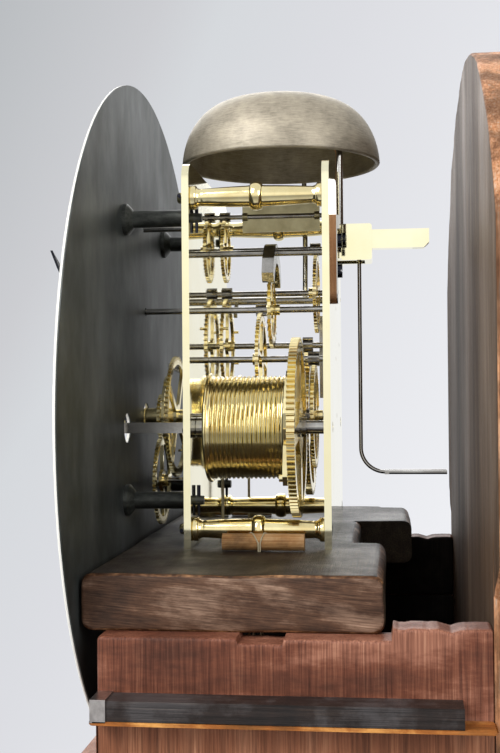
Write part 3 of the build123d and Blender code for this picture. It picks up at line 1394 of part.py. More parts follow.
def door_brass():
    """Two brass butt hinges, each with a leaf and middle knuckle on the stile and a leaf and end
    knuckles on the door, and the door's lock and escutcheon."""
    fixed = []
    moving = []
    third = hinge_length / 3
    t = hinge_leaf_thickness
    for z in hinge_heights:
        y0 = trunk_front - t
        bore = Pos(hinge_x, hinge_y, z) * Cylinder(hinge_pin_radius + pivot_clearance, hinge_length + 9)
        leaf = block(hinge_x + 0.8, hinge_x + hinge_leaf_width, y0, trunk_front, z - third / 2, z + third / 2)
        leaf += block(hinge_x, hinge_x + hinge_leaf_width, y0, trunk_front, z - third / 2 + 0.2,
                      z + third / 2 - 0.2)
        knuckle = Pos(hinge_x, hinge_y, z) * Cylinder(hinge_barrel_radius, third - 0.4)
        fixed.append(leaf + knuckle - bore)
        parts = None
        for side in (-1, 1):
            centre = z + side * third
            knuckle = Pos(hinge_x, hinge_y, centre) * Cylinder(hinge_barrel_radius, third - 0.4)
            knuckle += block(hinge_x - hinge_leaf_width, hinge_x, y0, trunk_front, centre - third / 2 + 0.2,
                             centre + third / 2 - 0.2)
            parts = knuckle if parts is None else parts + knuckle
        parts += block(hinge_x - hinge_leaf_width, hinge_x - hinge_barrel_radius - 1.0, y0, trunk_front,
                       z - third, z + third)
        moving.append(parts - bore + Pos(hinge_x, hinge_y, z) * Cylinder(hinge_pin_radius, hinge_length))
    save("door_hinges", fixed)
    save("door_fittings", moving + lock_pieces())


def build():
    os.makedirs("parts", exist_ok=True)
    front_plate()
    back_plate()
    pillars()
    taper_pins()
    dial_plate()
    dial_feet()
    back_cock()
    movement_screws()
    motion_bridge()
    plate_studs()
    bell()
    bell_stand()
    hammer()
    hammer_spring()
    barrels()
    centre_group()
    third_group()
    escape_group()
    anchor_pallets()
    crutch()
    strike_train()
    motion_work()
    hands()
    rack()
    rack_hook()
    lifting_piece()
    seatboard()
    line_toggles()
    lines_and_pulleys()
    case_sides()
    backboard()
    hood_rails()
    trunk_frame()
    case_mouldings()
    case_base()
    trunk_door()
    door_brass()


build()
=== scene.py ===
import bmesh
import bpy
import math
import numpy as np
from mathutils import Matrix, Vector

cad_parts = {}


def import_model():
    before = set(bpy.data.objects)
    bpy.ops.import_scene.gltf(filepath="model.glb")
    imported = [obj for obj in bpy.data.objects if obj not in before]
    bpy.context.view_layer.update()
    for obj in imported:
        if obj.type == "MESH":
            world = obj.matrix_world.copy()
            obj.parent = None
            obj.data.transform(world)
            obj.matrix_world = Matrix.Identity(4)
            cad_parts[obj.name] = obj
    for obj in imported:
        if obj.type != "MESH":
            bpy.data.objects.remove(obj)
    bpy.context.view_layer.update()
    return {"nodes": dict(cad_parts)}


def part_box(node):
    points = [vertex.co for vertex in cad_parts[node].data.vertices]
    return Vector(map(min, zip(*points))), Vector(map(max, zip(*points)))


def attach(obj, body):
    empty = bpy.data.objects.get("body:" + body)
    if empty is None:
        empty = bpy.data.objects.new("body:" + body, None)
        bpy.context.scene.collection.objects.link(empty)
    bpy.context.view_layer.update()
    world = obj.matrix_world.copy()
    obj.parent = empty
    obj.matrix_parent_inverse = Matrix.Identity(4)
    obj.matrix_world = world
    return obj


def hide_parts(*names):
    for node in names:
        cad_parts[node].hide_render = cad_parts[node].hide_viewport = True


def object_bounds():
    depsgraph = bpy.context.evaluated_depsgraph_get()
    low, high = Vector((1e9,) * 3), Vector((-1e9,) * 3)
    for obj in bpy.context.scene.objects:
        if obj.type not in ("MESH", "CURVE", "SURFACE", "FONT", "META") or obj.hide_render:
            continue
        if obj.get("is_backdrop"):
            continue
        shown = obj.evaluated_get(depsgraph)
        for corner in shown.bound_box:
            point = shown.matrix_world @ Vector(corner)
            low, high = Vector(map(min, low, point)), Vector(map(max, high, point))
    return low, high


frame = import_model()

# Camera and studio.
# The camera stands beside the clock, level with the plates, and looks across it towards -X.
# Its place and lens are worked out from the plates, pillars, bell and dial edge in the photograph.
camera_place = (0.5449, 0.0562, 1.6381)
camera_yaw, camera_pitch, camera_roll = 0.1169, 0.012, -0.0084
focal_pixels, picture_width = 1173.4, 500
sensor_mm = 36.0

cos_yaw, sin_yaw = math.cos(camera_yaw), math.sin(camera_yaw)
cos_pitch, sin_pitch = math.cos(camera_pitch), math.sin(camera_pitch)
ahead = Vector((-cos_yaw * cos_pitch, -sin_yaw * cos_pitch, sin_pitch))
level_right = Vector((-sin_yaw, cos_yaw, 0.0))
level_up = level_right.cross(ahead)
right = level_right * math.cos(camera_roll) + level_up * math.sin(camera_roll)
up = level_up * math.cos(camera_roll) - level_right * math.sin(camera_roll)
camera = bpy.data.objects.new("camera", bpy.data.cameras.new("camera"))
bpy.context.collection.objects.link(camera)
turn = Matrix((right, up, -ahead)).transposed().to_4x4()
camera.matrix_world = Matrix.Translation(camera_place) @ turn
camera.data.sensor_fit = "HORIZONTAL"
camera.data.sensor_width = sensor_mm
camera.data.lens = focal_pixels / picture_width * sensor_mm
camera.data.clip_start = 0.01
bpy.context.scene.camera = camera
bpy.context.scene.view_settings.view_transform = "Standard"


def hex_colour(text):
    """An sRGB hex colour as linear red, green and blue, with a full alpha."""
    values = [int(text[i:i + 2], 16) / 255 for i in (1, 3, 5)]
    return [v / 12.92 if v <= 0.04045 else ((v + 0.055) / 1.055) ** 2.4 for v in values] + [1.0]


def plug(tree, source, socket):
    """Feeds a socket from a node's first output, or from the output named in a pair of node and output."""
    node, output = source if isinstance(source, tuple) else (source, 0)
    tree.links.new(node.outputs[output], socket)


def add(tree, kind, links=None, **settings):
    """Adds a node. Settings that are sockets take values, the rest are the node's own properties,
    and links give each socket the node, or the node and output, that feeds it."""
    made = tree.nodes.new(kind)
    for key, value in settings.items():
        if hasattr(made, key):
            setattr(made, key, value)
    for key, value in settings.items():
        if not hasattr(made, key):
            made.inputs[key.replace("_", " ")].default_value = value
    for key, source in (links or {}).items():
        plug(tree, source, made.inputs[key])
    return made


def blend(tree, first, second, factor, kind="MIX"):
    """Mixes two colours, each a hex colour or a node, by a factor that is a number or a node."""
    made = add(tree, "ShaderNodeMix", data_type="RGBA", blend_type=kind)
    for key, source in (("A", first), ("B", second)):
        if isinstance(source, str):
            made.inputs[key].default_value = hex_colour(source)
        else:
            plug(tree, source, made.inputs[key])
    if isinstance(factor, float):
        made.inputs["Factor"].default_value = factor
    else:
        plug(tree, factor, made.inputs["Factor"])
    return made, "Result"


def scaled(tree, source, factor, offset):
    """A node's value times a factor, plus an offset."""
    made = add(tree, "ShaderNodeMath", links={0: source}, operation="MULTIPLY_ADD")
    made.inputs[1].default_value, made.inputs[2].default_value = factor, offset
    return made


# The studio round the clock: a pale backdrop, darker towards the picture's upper left. What shines sees
# the same pale room all round, but for a brown bench low down on the camera's side.
backdrop_stops = ((0.0, "#b4b8bb"), (0.27, "#cdced2"), (0.36, "#d6d9dd"), (0.53, "#dcdde2"),
                  (1.0, "#eeeff3"))
backdrop_from, backdrop_to, backdrop_slant = -0.50, 0.10, -0.5
room_stops = ((0.0, "#c9ccd0"), (0.14, "#b3aaa2"), (0.24, "#9c7f6d"), (0.36, "#8d7060"), (0.44, "#e3e3e3"),
              (0.55, "#fbfbfa"), (1.0, "#f2f4f7"))
far_room = "#f6f7f8"
bench_from, bench_to, window_from, window_to = 0.05, 0.35, 0.80, 0.97
room_strength, window_strength, fill_strength = 0.98, 1.22, 0.62

world = bpy.data.worlds.new("studio")
bpy.context.scene.world = world
world.use_nodes = True
tree = world.node_tree
tree.nodes.clear()
rays = add(tree, "ShaderNodeLightPath")
direction = add(tree, "ShaderNodeTexCoord")
axes = add(tree, "ShaderNodeSeparateXYZ", links={0: (direction, "Generated")})
slant = add(tree, "ShaderNodeMath", links={0: (axes, "Z"), 2: (axes, "Y")}, operation="MULTIPLY_ADD")
slant.inputs[1].default_value = backdrop_slant
shade = add(tree, "ShaderNodeMapRange", links={"Value": slant}, From_Min=backdrop_from,
            From_Max=backdrop_to)
height = add(tree, "ShaderNodeMapRange", links={"Value": (axes, "Z")}, From_Min=-1.0, From_Max=1.0)
side = add(tree, "ShaderNodeMapRange", links={"Value": (axes, "X")}, From_Min=bench_from, From_Max=bench_to)


def ramp(tree, source, stops):
    """A colour ramp fed by a node, from places and hex colours."""
    made = add(tree, "ShaderNodeValToRGB", links={0: source})
    elements = made.color_ramp.elements
    while len(elements) < len(stops):
        elements.new(0.5)
    for element, (place, colour) in zip(elements, stops):
        element.position = place
        element.color = hex_colour(colour)
    return made


pale, banded = ramp(tree, shade, backdrop_stops), ramp(tree, height, room_stops)
room = blend(tree, far_room, banded, side)
seen = add(tree, "ShaderNodeBackground", links={"Color": pale})
window = add(tree, "ShaderNodeMapRange", links={"Value": (axes, "X")}, From_Min=window_from,
             From_Max=window_to, To_Min=room_strength, To_Max=window_strength,
             interpolation_type="SMOOTHSTEP")
mirrored = add(tree, "ShaderNodeBackground", links={"Color": room, "Strength": window})
filled = add(tree, "ShaderNodeBackground", Strength=fill_strength)
glossy = add(tree, "ShaderNodeMixShader", links={0: (rays, "Is Glossy Ray"), 1: filled, 2: mirrored})
either = add(tree, "ShaderNodeMixShader", links={0: (rays, "Is Camera Ray"), 1: glossy, 2: seen})
add(tree, "ShaderNodeOutputWorld", links={"Surface": either})


def lamp(name, place, target, size, power):
    """A square soft box at a place, turned to a target."""
    light = bpy.data.lights.new(name, "AREA")
    light.size = size
    light.energy = power
    box = bpy.data.objects.new(name, light)
    box.location = place
    box.rotation_euler = (Vector(target) - Vector(place)).to_track_quat("-Z", "Y").to_euler()
    bpy.context.collection.objects.link(box)


clock_head = (0.0, 0.0, 1.62)
lamp("key", (1.1, -0.9, 2.7), clock_head, 0.9, 26.0)
lamp("side", (1.0, 1.0, 2.1), clock_head, 0.8, 9.0)
lamp("back", (-1.4, -0.3, 2.5), clock_head, 1.2, 14.0)
lamp("foot", (1.4, -2.2, 1.7), (0.0, 0.0, 0.7), 1.4, 16.0)

floor_far, floor_wide = 3.8, 9.0
floor_mesh = bpy.data.meshes.new("floor")
floor_mesh.from_pydata([(-floor_far, -floor_wide, 0), (floor_wide, -floor_wide, 0),
                        (floor_wide, floor_wide, 0), (-floor_far, floor_wide, 0)], [], [(0, 1, 2, 3)])
floor = bpy.data.objects.new("floor", floor_mesh)
bpy.context.collection.objects.link(floor)
floor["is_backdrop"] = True
floor_paint = bpy.data.materials.new("floor_paint")
floor_paint.use_nodes = True
shader = floor_paint.node_tree.nodes["Principled BSDF"]
shader.inputs["Base Color"].default_value = hex_colour("#dfe1e4")
shader.inputs["Roughness"].default_value = 0.9
floor_mesh.materials.append(floor_paint)


def material(name):
    """A new material, its tree, its shader and its Object coordinates."""
    made = bpy.data.materials.new(name)
    made.use_nodes = True
    tree = made.node_tree
    return made, tree, tree.nodes["Principled BSDF"], add(tree, "ShaderNodeTexCoord")


def stretched(tree, coordinates, size_mm, output="Object"):
    """Coordinates scaled so that a pattern of size 1 is this many millimetres along X, Y and Z."""
    return add(tree, "ShaderNodeMapping", links={"Vector": (coordinates, output)},
               Scale=[1000.0 / s for s in size_mm])


def noise(tree, coordinates, size_mm, detail=2.0, roughness=0.5, output="Object"):
    """Noise whose pattern is this many millimetres along X, Y and Z."""
    place = stretched(tree, coordinates, size_mm, output)
    return add(tree, "ShaderNodeTexNoise", links={"Vector": place}, Scale=1.0, Detail=detail,
               Roughness=roughness)


def before(tree, coordinates, y):
    """1 where a point's Y is less than this, else 0."""
    place = add(tree, "ShaderNodeSeparateXYZ", links={0: (coordinates, "Object")})
    made = add(tree, "ShaderNodeMath", links={0: (place, "Y")}, operation="LESS_THAN")
    made.inputs[1].default_value = y
    return made


def finish(tree, shader, height, distance_mm, strength, links):
    """Feeds a height to the shader's normal as a bump of a real depth, and other sockets from nodes."""
    bump = add(tree, "ShaderNodeBump", links={"Height": height}, Distance=distance_mm / 1000,
               Strength=strength)
    for key, source in {"Normal": bump, **links}.items():
        plug(tree, source, shader.inputs[key])


def dress(node, made):
    """Gives a CAD node its material."""
    mesh = frame["nodes"][node].data
    mesh.materials.clear()
    mesh.materials.append(made)


# Polished brass, as on wheels, pillars and drums: cast, turned and buffed, then slightly toned by air.
# The eye gets a warm yellow mirror, hazy where the tarnish starts.
def brass(name, clean, toned, roughness, tone_mm, haze=0.08, scratch=0.08):
    """Brass of two tones that drift over a size, with its roughness rising a little in the toned places."""
    made, tree, shader, coordinates = material(name)
    drift = noise(tree, coordinates, [tone_mm] * 3, 4.0, 0.6)
    grain = noise(tree, coordinates, (0.25, 2.5, 0.25))
    tone = ramp(tree, drift, ((0.35, clean), (0.72, toned)))
    rough = add(tree, "ShaderNodeMapRange", links={"Value": drift}, From_Min=0.3, From_Max=0.75,
                To_Min=roughness, To_Max=roughness + haze)
    shader.inputs["Metallic"].default_value = 1.0
    finish(tree, shader, grain, 0.012, scratch, {"Base Color": tone, "Roughness": rough})
    return made


turned_brass = brass("turned_brass", "#f3e6b4", "#e2cd94", 0.12, 14.0)
plate_brass = brass("plate_brass", "#f6f0d0", "#efe6bb", 0.045, 40.0, 0.03, 0.0)
dulled_brass = brass("dulled_brass", "#a39b7c", "#898163", 0.28, 9.0, 0.06, 0.05)


def steel(name, bright, dark, roughness, tone_mm=12.0):
    """Steel of two tones with faint drawn scratches."""
    made, tree, shader, coordinates = material(name)
    drift = noise(tree, coordinates, [tone_mm] * 3, 5.0, 0.6)
    scratches = noise(tree, coordinates, (0.3, 4.0, 0.3))
    tone = ramp(tree, drift, ((0.35, bright), (0.7, dark)))
    shader.inputs["Metallic"].default_value = 1.0
    shader.inputs["Roughness"].default_value = roughness
    finish(tree, shader, scratches, 0.01, 0.3, {"Base Color": tone})
    return made


polished_steel = steel("polished_steel", "#b4b2ae", "#84807b", 0.18)
blued_steel = steel("blued_steel", "#34363f", "#23232a", 0.30)


# Movement plates: two sheets of hammered and polished brass, their edges filed bright.
for node in ("front_plate", "back_plate", "back_cock"):
    dress(node, plate_brass)


def mesh_of(name, grids, wrap=(False, False), sharp=40.0):
    """One mesh over grids of points, each (rows, columns, 3). A wrapped side joins its end to its start.
    Doubles are merged, so that seams and poles close, and the faces are turned outwards."""
    corners, quads, start = [], [], 0
    for grid in grids:
        rows, columns = grid.shape[:2]
        i, j = np.meshgrid(np.arange(rows if wrap[0] else rows - 1),
                           np.arange(columns if wrap[1] else columns - 1), indexing="ij")
        ring = [((i + a) % rows) * columns + (j + b) % columns for a, b in ((0, 0), (1, 0), (1, 1), (0, 1))]
        quads.append(np.stack(ring, -1).reshape(-1, 4) + start)
        corners.append(grid.reshape(-1, 3))
        start += rows * columns
    mesh = bpy.data.meshes.new(name)
    mesh.from_pydata(np.concatenate(corners).tolist(), [], np.concatenate(quads).tolist())
    work = bmesh.new()
    work.from_mesh(mesh)
    bmesh.ops.remove_doubles(work, verts=work.verts, dist=1e-6)
    bmesh.ops.recalc_face_normals(work, faces=work.faces)
    work.to_mesh(mesh)
    work.free()
    mesh.polygons.foreach_set("use_smooth", [True] * len(mesh.polygons))
    mesh.set_sharp_from_angle(angle=math.radians(sharp))
    return mesh


def piece(name, mesh, body, made, replaces=()):
    """An object of a mesh that rides on a body, takes a slot's finish and may stand for CAD nodes."""
    thing = bpy.data.objects.new(name, mesh)
    bpy.context.collection.objects.link(thing)
    mesh.materials.append(made)
    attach(thing, body)
    if replaces:
        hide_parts(*replaces)


def turned(profile, x, z, segments=64):
    """A profile of (y, radius) turned about a line along Y: at angle t each point stands its radius
    times (cos t, sin t) away from the line."""
    y, radius = np.array(profile, float).T
    t = np.linspace(0, 2 * np.pi, segments, endpoint=False)
    across = np.outer(radius, np.cos(t)) + x
    upward = np.outer(radius, np.sin(t)) + z
    return np.stack([across, np.repeat(y[:, None], segments, 1), upward], -1)


def arc(y0, r0, y1, r1, bulge, steps=7):
    """Profile points from one to another on a shallow curve: a sine as high as bulge is added."""
    t = np.linspace(0, 1, steps)
    return list(zip(y0 + (y1 - y0) * t, r0 + (r1 - r0) * t + bulge * np.sin(np.pi * t)))


def node_centre(node):
    """The middle of a CAD node's box."""
    low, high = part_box(node)
    return (low + high) / 2


# Pillars: cast and turned brass, riveted in the back plate and pinned in front of the front one.
# Each has a disc and cove at both ends, a slightly swelling shank and a plain round knop in the middle.
front_low, front_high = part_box("front_plate")
back_low, back_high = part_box("back_plate")
plates_from, plates_to = front_high.y, back_low.y
pillar_middle = (plates_from + plates_to) / 2
pillar_half = (plates_to - plates_from) / 2
pillar_low, pillar_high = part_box("plate_pillars")
pillar_knop, pillar_disc, pillar_cove = 0.0061, 0.0051, 0.0042
pillar_neck, pillar_shank, shank_swell, pillar_edge = 0.0037, 0.0045, 0.0001, 0.0003
# The first six are distances in from the plate, the last three are distances from the pillar's middle.
disc_full, disc_drawn, disc_end = 0.0020, 0.0024, 0.0025
cove_from, cove_to, shank_from = 0.0027, 0.0052, 0.0058
shank_to, knop_foot, knop_half = 0.0042, 0.0031, 0.0027


def half_pillar():
    """Profile from the end against a plate to the knop's middle, as distance from the middle and radius."""
    h = pillar_half
    points = [(h, 0.0), (h, pillar_disc - pillar_edge), (h - pillar_edge, pillar_disc)]
    points += [(h - disc_full, pillar_disc), (h - disc_drawn, pillar_disc - pillar_edge)]
    points += [(h - disc_end, pillar_cove)]
    points += arc(h - cove_from, pillar_cove, h - cove_to, pillar_neck, -pillar_edge)
    points += arc(h - shank_from, pillar_neck, shank_to, pillar_shank, shank_swell, 12)
    points += [(knop_foot, pillar_shank + shank_swell)]
    t = np.linspace(0, np.pi / 2, 9)
    bead = pillar_shank + shank_swell + (pillar_knop - pillar_shank - shank_swell) * np.sin(t)
    return points + list(zip(knop_half * np.cos(t), bead))


half = half_pillar()
whole = [(pillar_middle - y, r) for y, r in half] + [(pillar_middle + y, r) for y, r in reversed(half[:-1])]
tail_radius, tail_point, tail_end = 0.0026, 0.0008, pillar_low.y
tail = [(tail_end, 0.0), (tail_end, tail_radius - tail_point),
        (tail_end + tail_point, tail_radius - pillar_edge), (front_low.y, tail_radius), (front_low.y, 0.0)]
pillar_x = (pillar_high.x - pillar_low.x) / 2 - pillar_knop
pillar_heights = (pillar_low.z + pillar_knop, pillar_high.z - pillar_knop)
grids = [turned(shape, x, z)
         for x in (-pillar_x, pillar_x) for z in pillar_heights for shape in (whole, tail)]
piece("pillars_turned", mesh_of("pillars_turned", grids, (False, True)), "clock",
      turned_brass, ["plate_pillars"])


# Bell: cast in high-tin bronze, turned true and left satin. It hangs mouth down from its stand.
# The outside is a squared dome: radius and height are powers of the cosine and sine of one angle.
bell_low, bell_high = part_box("bell")
bell_centre = node_centre("bell")
bell_radius = (bell_high.x - bell_low.x) / 2
bell_height = bell_high.z - bell_low.z
bell_wall, bell_bore = 0.0024, 0.0014
bell_side, bell_crown = 3.77, 1.81


def dome(radius, height, steps=40):
    """Radius and height from the rim to the bore: R cos(t)^(2/side) and H sin(t)^(2/crown)."""
    t = np.linspace(0, np.pi / 2, steps)
    r = np.maximum(radius * np.cos(t) ** (2 / bell_side), bell_bore)
    return np.stack([r, height * np.sin(t) ** (2 / bell_crown)], -1)


def spun(profile, x, y, z, segments=128):
    """A profile of (radius, height) turned about an upright line through x and y."""
    radius, height = np.array(profile, float).T
    t = np.linspace(0, 2 * np.pi, segments, endpoint=False)
    across = np.outer(radius, np.cos(t)) + x
    along = np.outer(radius, np.sin(t)) + y
    return np.stack([across, along, np.repeat(height[:, None], segments, 1) + z], -1)


outside = dome(bell_radius, bell_height)[1:]
inside = dome(bell_radius - bell_wall, bell_height - bell_wall)[1:]
t = np.linspace(0, np.pi, 7)
lip = np.stack([bell_radius - bell_wall / 2 + bell_wall / 2 * np.cos(t),
                bell_wall / 2 - bell_wall / 2 * np.sin(t)], -1)
profile = np.concatenate([outside[::-1], lip, inside, outside[-1:]])
bell_grid = spun(profile, bell_centre.x, bell_centre.y, bell_low.z)
bell_mesh = mesh_of("bell_cast", [bell_grid], (False, True), 50)

bell_metal, tree, shader, coordinates = material("satin_bell_bronze")
cast_mm, brushed_mm = 11.0, (5.0, 5.0, 0.35)
drift = noise(tree, coordinates, [cast_mm] * 3, 6.0, 0.7)
specks = noise(tree, coordinates, brushed_mm, 4.0, 0.7)
both = add(tree, "ShaderNodeMath", links={0: drift, 1: specks}, operation="ADD")
spread = add(tree, "ShaderNodeMapRange", links={"Value": both}, From_Min=0.72, From_Max=1.28)
tone = ramp(tree, spread, ((0.0, "#7c7464"), (0.45, "#9c9382"), (1.0, "#b8ad98")))
shader.inputs["Metallic"].default_value = 0.35
shader.inputs["Roughness"].default_value = 0.5
finish(tree, shader, specks, 0.04, 0.35, {"Base Color": tone})
piece("bell_cast", bell_mesh, "clock", bell_metal, ["bell"])


# Barrels: brass drums with a screw-like groove for the gut, a front flange, and a ratchet behind.
# The groove is one helix: its depth is a raised cosine of the turn plus the way along the drum.
groove_pitch, groove_depth = 0.00192, 0.00075
drum_radius, flange_radius, flange_thickness, flange_edge = 0.0222, 0.0236, 0.0014, 0.0004
ratchet_radius, ratchet_depth, ratchet_thickness, ratchet_teeth = 0.025, 0.0016, 0.002, 24
arbor_bore = 0.0029


def grooved_drum(x, z, y0, y1, segments=96):
    """The drum's skin from y0 to y1. The groove fades out over one turn at both ends."""
    y = np.linspace(y0, y1, int((y1 - y0) / groove_pitch * 12))[:, None]
    t = np.linspace(0, 2 * np.pi, segments, endpoint=False)[None, :]
    wave = 0.5 - 0.5 * np.cos(2 * np.pi * (y - y0) / groove_pitch - t)
    fade = np.clip(np.minimum(y - y0, y1 - y) / groove_pitch, 0, 1)
    radius = drum_radius - groove_depth * wave ** 0.7 * fade
    return np.stack([x + radius * np.cos(t), np.broadcast_to(y, radius.shape), z + radius * np.sin(t)], -1)


def saw_disc(x, z, y0, y1):
    """A disc with saw teeth, as rings from its bore to its teeth and back: each tooth rises to its point."""
    step = np.repeat(np.arange(ratchet_teeth), 2)
    edge = np.tile([ratchet_radius - ratchet_depth, ratchet_radius], ratchet_teeth)
    bore = np.full(edge.shape, arbor_bore)
    angle = -2 * np.pi * step / ratchet_teeth
    rings = []
    for radius, y in ((bore, y0), (edge, y0), (edge, y1), (bore, y1)):
        across, upward = x + radius * np.cos(angle), z + radius * np.sin(angle)
        rings.append(np.stack([across, np.full(edge.shape, y), upward], -1))
    return np.array(rings)


for node, body, name in (("going_barrel", "going_drum", "going_drum_grooved"),
                         ("strike_barrel", "strike_drum", "strike_drum_grooved")):
    low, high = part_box(node)
    centre = node_centre(node)
    skin_from, skin_to = low.y + flange_thickness, high.y - ratchet_thickness
    front = [(low.y, arbor_bore), (low.y, flange_radius - flange_edge), (low.y + flange_edge, flange_radius),
             (skin_from - flange_edge, flange_radius), (skin_from, flange_radius - flange_edge),
             (skin_from, drum_radius)]
    end = [(skin_to, drum_radius), (skin_to, arbor_bore)]
    grids = [turned(front, centre.x, centre.z, 96), grooved_drum(centre.x, centre.z, skin_from, skin_to),
             turned(end, centre.x, centre.z, 96)]
    mesh = mesh_of(name, grids, (False, True), 60)
    piece(name, mesh, body, turned_brass, [node])
    saw = mesh_of(name + "_ratchet", [saw_disc(centre.x, centre.z, skin_to, high.y)], (False, True), 20)
    piece(name + "_ratchet", saw, body, turned_brass)


# Brass train wheels and other brass fittings keep their cut form and take the turned brass.
for node in ("going_great_wheel", "strike_great_wheel", "centre_wheel", "third_wheel", "escape_wheel",
             "pin_wheel", "gathering_wheel", "warning_wheel", "cannon_wheel", "minute_wheel",
             "hour_wheel", "date_wheel", "motion_bridge", "line_pulleys", "door_hinges", "door_fittings"):
    dress(node, turned_brass)
dress("fly", dulled_brass)

# Arbors, levers and the rest of the steel work: turned or filed, then polished.
for node in ("going_winding_arbor", "strike_winding_arbor", "centre_arbor", "third_arbor", "escape_arbor",
             "pin_wheel_arbor", "gathering_arbor", "warning_arbor", "fly_arbor", "anchor_pallets", "crutch",
             "rack", "rack_hook", "lifting_piece", "hammer", "hammer_spring", "plate_studs"):
    dress(node, polished_steel)
for node in ("movement_screws", "taper_pins", "minute_hand", "hour_hand", "seconds_hand"):
    dress(node, blued_steel)


# Bell stand: a forged steel strip and, in front of it, a polished rod. The strip's warm browns are a painted
# reflection of the brass near it.
stand_metal, tree, shader, coordinates = material("forged_strip_and_polished_rod")
strip_thickness = 0.0018
strip = before(tree, coordinates, back_high.y + strip_thickness)
# The warm browns below are a painted reflection of the brass, laid on the strip's steel.
scale_and_reflection_spots = noise(tree, coordinates, (3.0, 3.0, 9.0), 5.0)
rust_and_reflection = ramp(tree, scale_and_reflection_spots, ((0.35, "#c08a60"), (0.7, "#dba77c")))
finish(tree, shader, scale_and_reflection_spots, 0.02, 0.3, {
    "Base Color": blend(tree, "#b9b7b3", rust_and_reflection, strip), "Roughness": scaled(tree, strip, 0.3, 0.16),
    "Metallic": scaled(tree, strip, -0.6, 1.0)})
dress("bell_stand", stand_metal)


# Dial: a round sheet of rolled iron, its back bare, dark and brushed up and down, its front under
# several coats of white paint that turn over the edge.
dial_low, dial_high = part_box("dial_plate")
paint_thickness = 0.0011

dial_iron, tree, shader, coordinates = material("rolled_iron_and_paint")
streak = noise(tree, coordinates, (20.0, 20.0, 46.0), 5.0, 0.62)
blotch = noise(tree, coordinates, (38.0, 38.0, 60.0), 6.0, 0.6)
brushed = noise(tree, coordinates, (0.7, 0.7, 26.0), 3.0)
iron = ramp(tree, streak, ((0.3, "#454746"), (0.5, "#4f5251"), (0.72, "#5c6061")))
rust_and_reflection = ramp(tree, blotch, ((0.40, "#ffffff"), (0.58, "#9aa198"), (0.74, "#7c6f5c")))
front = before(tree, coordinates, dial_low.y + paint_thickness)
colour = blend(tree, blend(tree, iron, rust_and_reflection, 0.85, "MULTIPLY"), "#e6e4dc", front)
rough = add(tree, "ShaderNodeMapRange", links={"Value": streak}, From_Min=0.3, From_Max=0.7, To_Min=0.56,
            To_Max=0.48)
finish(tree, shader, brushed, 0.02, 0.25, {
    "Base Color": colour, "Roughness": rough, "Metallic": scaled(tree, front, -0.55, 0.55)})
dress("dial_plate", dial_iron)


# Dial feet: iron posts riveted to the dial, each with a domed foot, blackened.
foot_iron, tree, shader, coordinates = material("blackened_iron")
scale_and_reflection_spots = noise(tree, coordinates, (3.0, 9.0, 3.0), 6.0, 0.7)
tone = ramp(tree, scale_and_reflection_spots, ((0.35, "#2c2e2b"), (0.7, "#565853")))
shader.inputs["Metallic"].default_value = 0.6
shader.inputs["Roughness"].default_value = 0.45
finish(tree, shader, scale_and_reflection_spots, 0.1, 0.5, {"Base Color": tone})
dress("dial_feet", foot_iron)


# Seatboard: a thick oak plank, older and rougher than the movement, its edges worn round by handling
# and its top dark with oil. Its back edge is notched for the pendulum, and stands further out on the
# far side.
wear_bias, wear_core = 0.6, 0.01


def rounded_section(low, high, corner, side_steps, corner_steps=5):
    """Points round a rectangle with round corners, as (stations, points, 2): low and high are its opposite
    corners at each station, corner its radius there."""
    low, high = np.asarray(low, float), np.asarray(high, float)
    corner = np.asarray(corner, float)[:, None]
    quarter = np.linspace(0, np.pi / 2, corner_steps)
    parts = []
    for k, (sx, sy) in enumerate(((1, 1), (-1, 1), (-1, -1), (1, -1))):
        centre = np.where(np.array([sx, sy]) > 0, high - corner, low + corner)
        angle = quarter + k * np.pi / 2
        out = np.stack([np.cos(angle), np.sin(angle)], -1)[None]
        parts.append(centre[:, None, :] + corner[..., None] * out)
    points = []
    for k in range(4):
        here, following = parts[k], parts[(k + 1) % 4]
        share = np.linspace(0, 1, side_steps[k % 2] + 1)[None, 1:-1, None]
        points += [here, here[:, -1:] * (1 - share) + following[:, :1] * share]
    return np.concatenate(points, 1)


def lattice_noise(points, size, seed, detail=3):
    """Smooth noise from -1 to 1 at points: random numbers on a lattice of this size, blended by a
    smooth step, with finer and weaker copies added."""
    values = np.random.default_rng(seed).uniform(-1, 1, (32, 32, 32))
    total, weight = np.zeros(points.shape[:-1]), 1.0
    for octave in range(detail):
        place = points / np.asarray(size, float) * 2 ** octave + 7.3 * octave
        cell = np.floor(place).astype(int)
        share = place - cell
        share = share * share * (3 - 2 * share)
        mixed = 0.0
        for corner in np.ndindex(2, 2, 2):
            part = np.prod(np.where(np.array(corner), share, 1 - share), -1)
            i, j, k = [(cell[..., n] + corner[n]) % 32 for n in range(3)]
            mixed = mixed + part * values[i, j, k]
        total += weight * mixed
        weight *= 0.5
    return total


def plank(along, low, high, corner, side_steps, end_round, order):
    """A board carried along one direction: a rounded rectangle at each station, and ends that draw in by a
    quarter circle and close on a point. order puts (along, first, second) into X, Y and Z."""
    along = np.asarray(along, float)
    section = rounded_section(low, high, corner, side_steps)
    middle = (np.asarray(low) + np.asarray(high)) / 2
    turn = np.linspace(0, np.pi / 2, 5)[1:]
    rows, places = [section], [along]
    for index, sign in ((0, -1), (-1, 1)):
        drawn, put = [], []
        for angle in turn:
            inset = end_round * (1 - math.cos(angle))
            span = (np.asarray(high)[index] - np.asarray(low)[index]) / 2
            drawn.append(middle[index] + (section[index] - middle[index]) * (1 - inset / span))
            put.append(along[index] + sign * end_round * math.sin(angle))
        edge = drawn[-1]
        for share in (0.75, 0.5, 0.25, 0.0):
            drawn.append(middle[index] + (edge - middle[index]) * share)
            put.append(put[3])
        rows.append(np.array(drawn))
        places.append(np.array(put))
    section = np.concatenate([rows[1][::-1], rows[0], rows[2]])
    place = np.concatenate([places[1][::-1], places[0], places[2]])
    full = np.concatenate([np.repeat(place[:, None], section.shape[1], 1)[..., None], section], -1)
    return full[..., order]


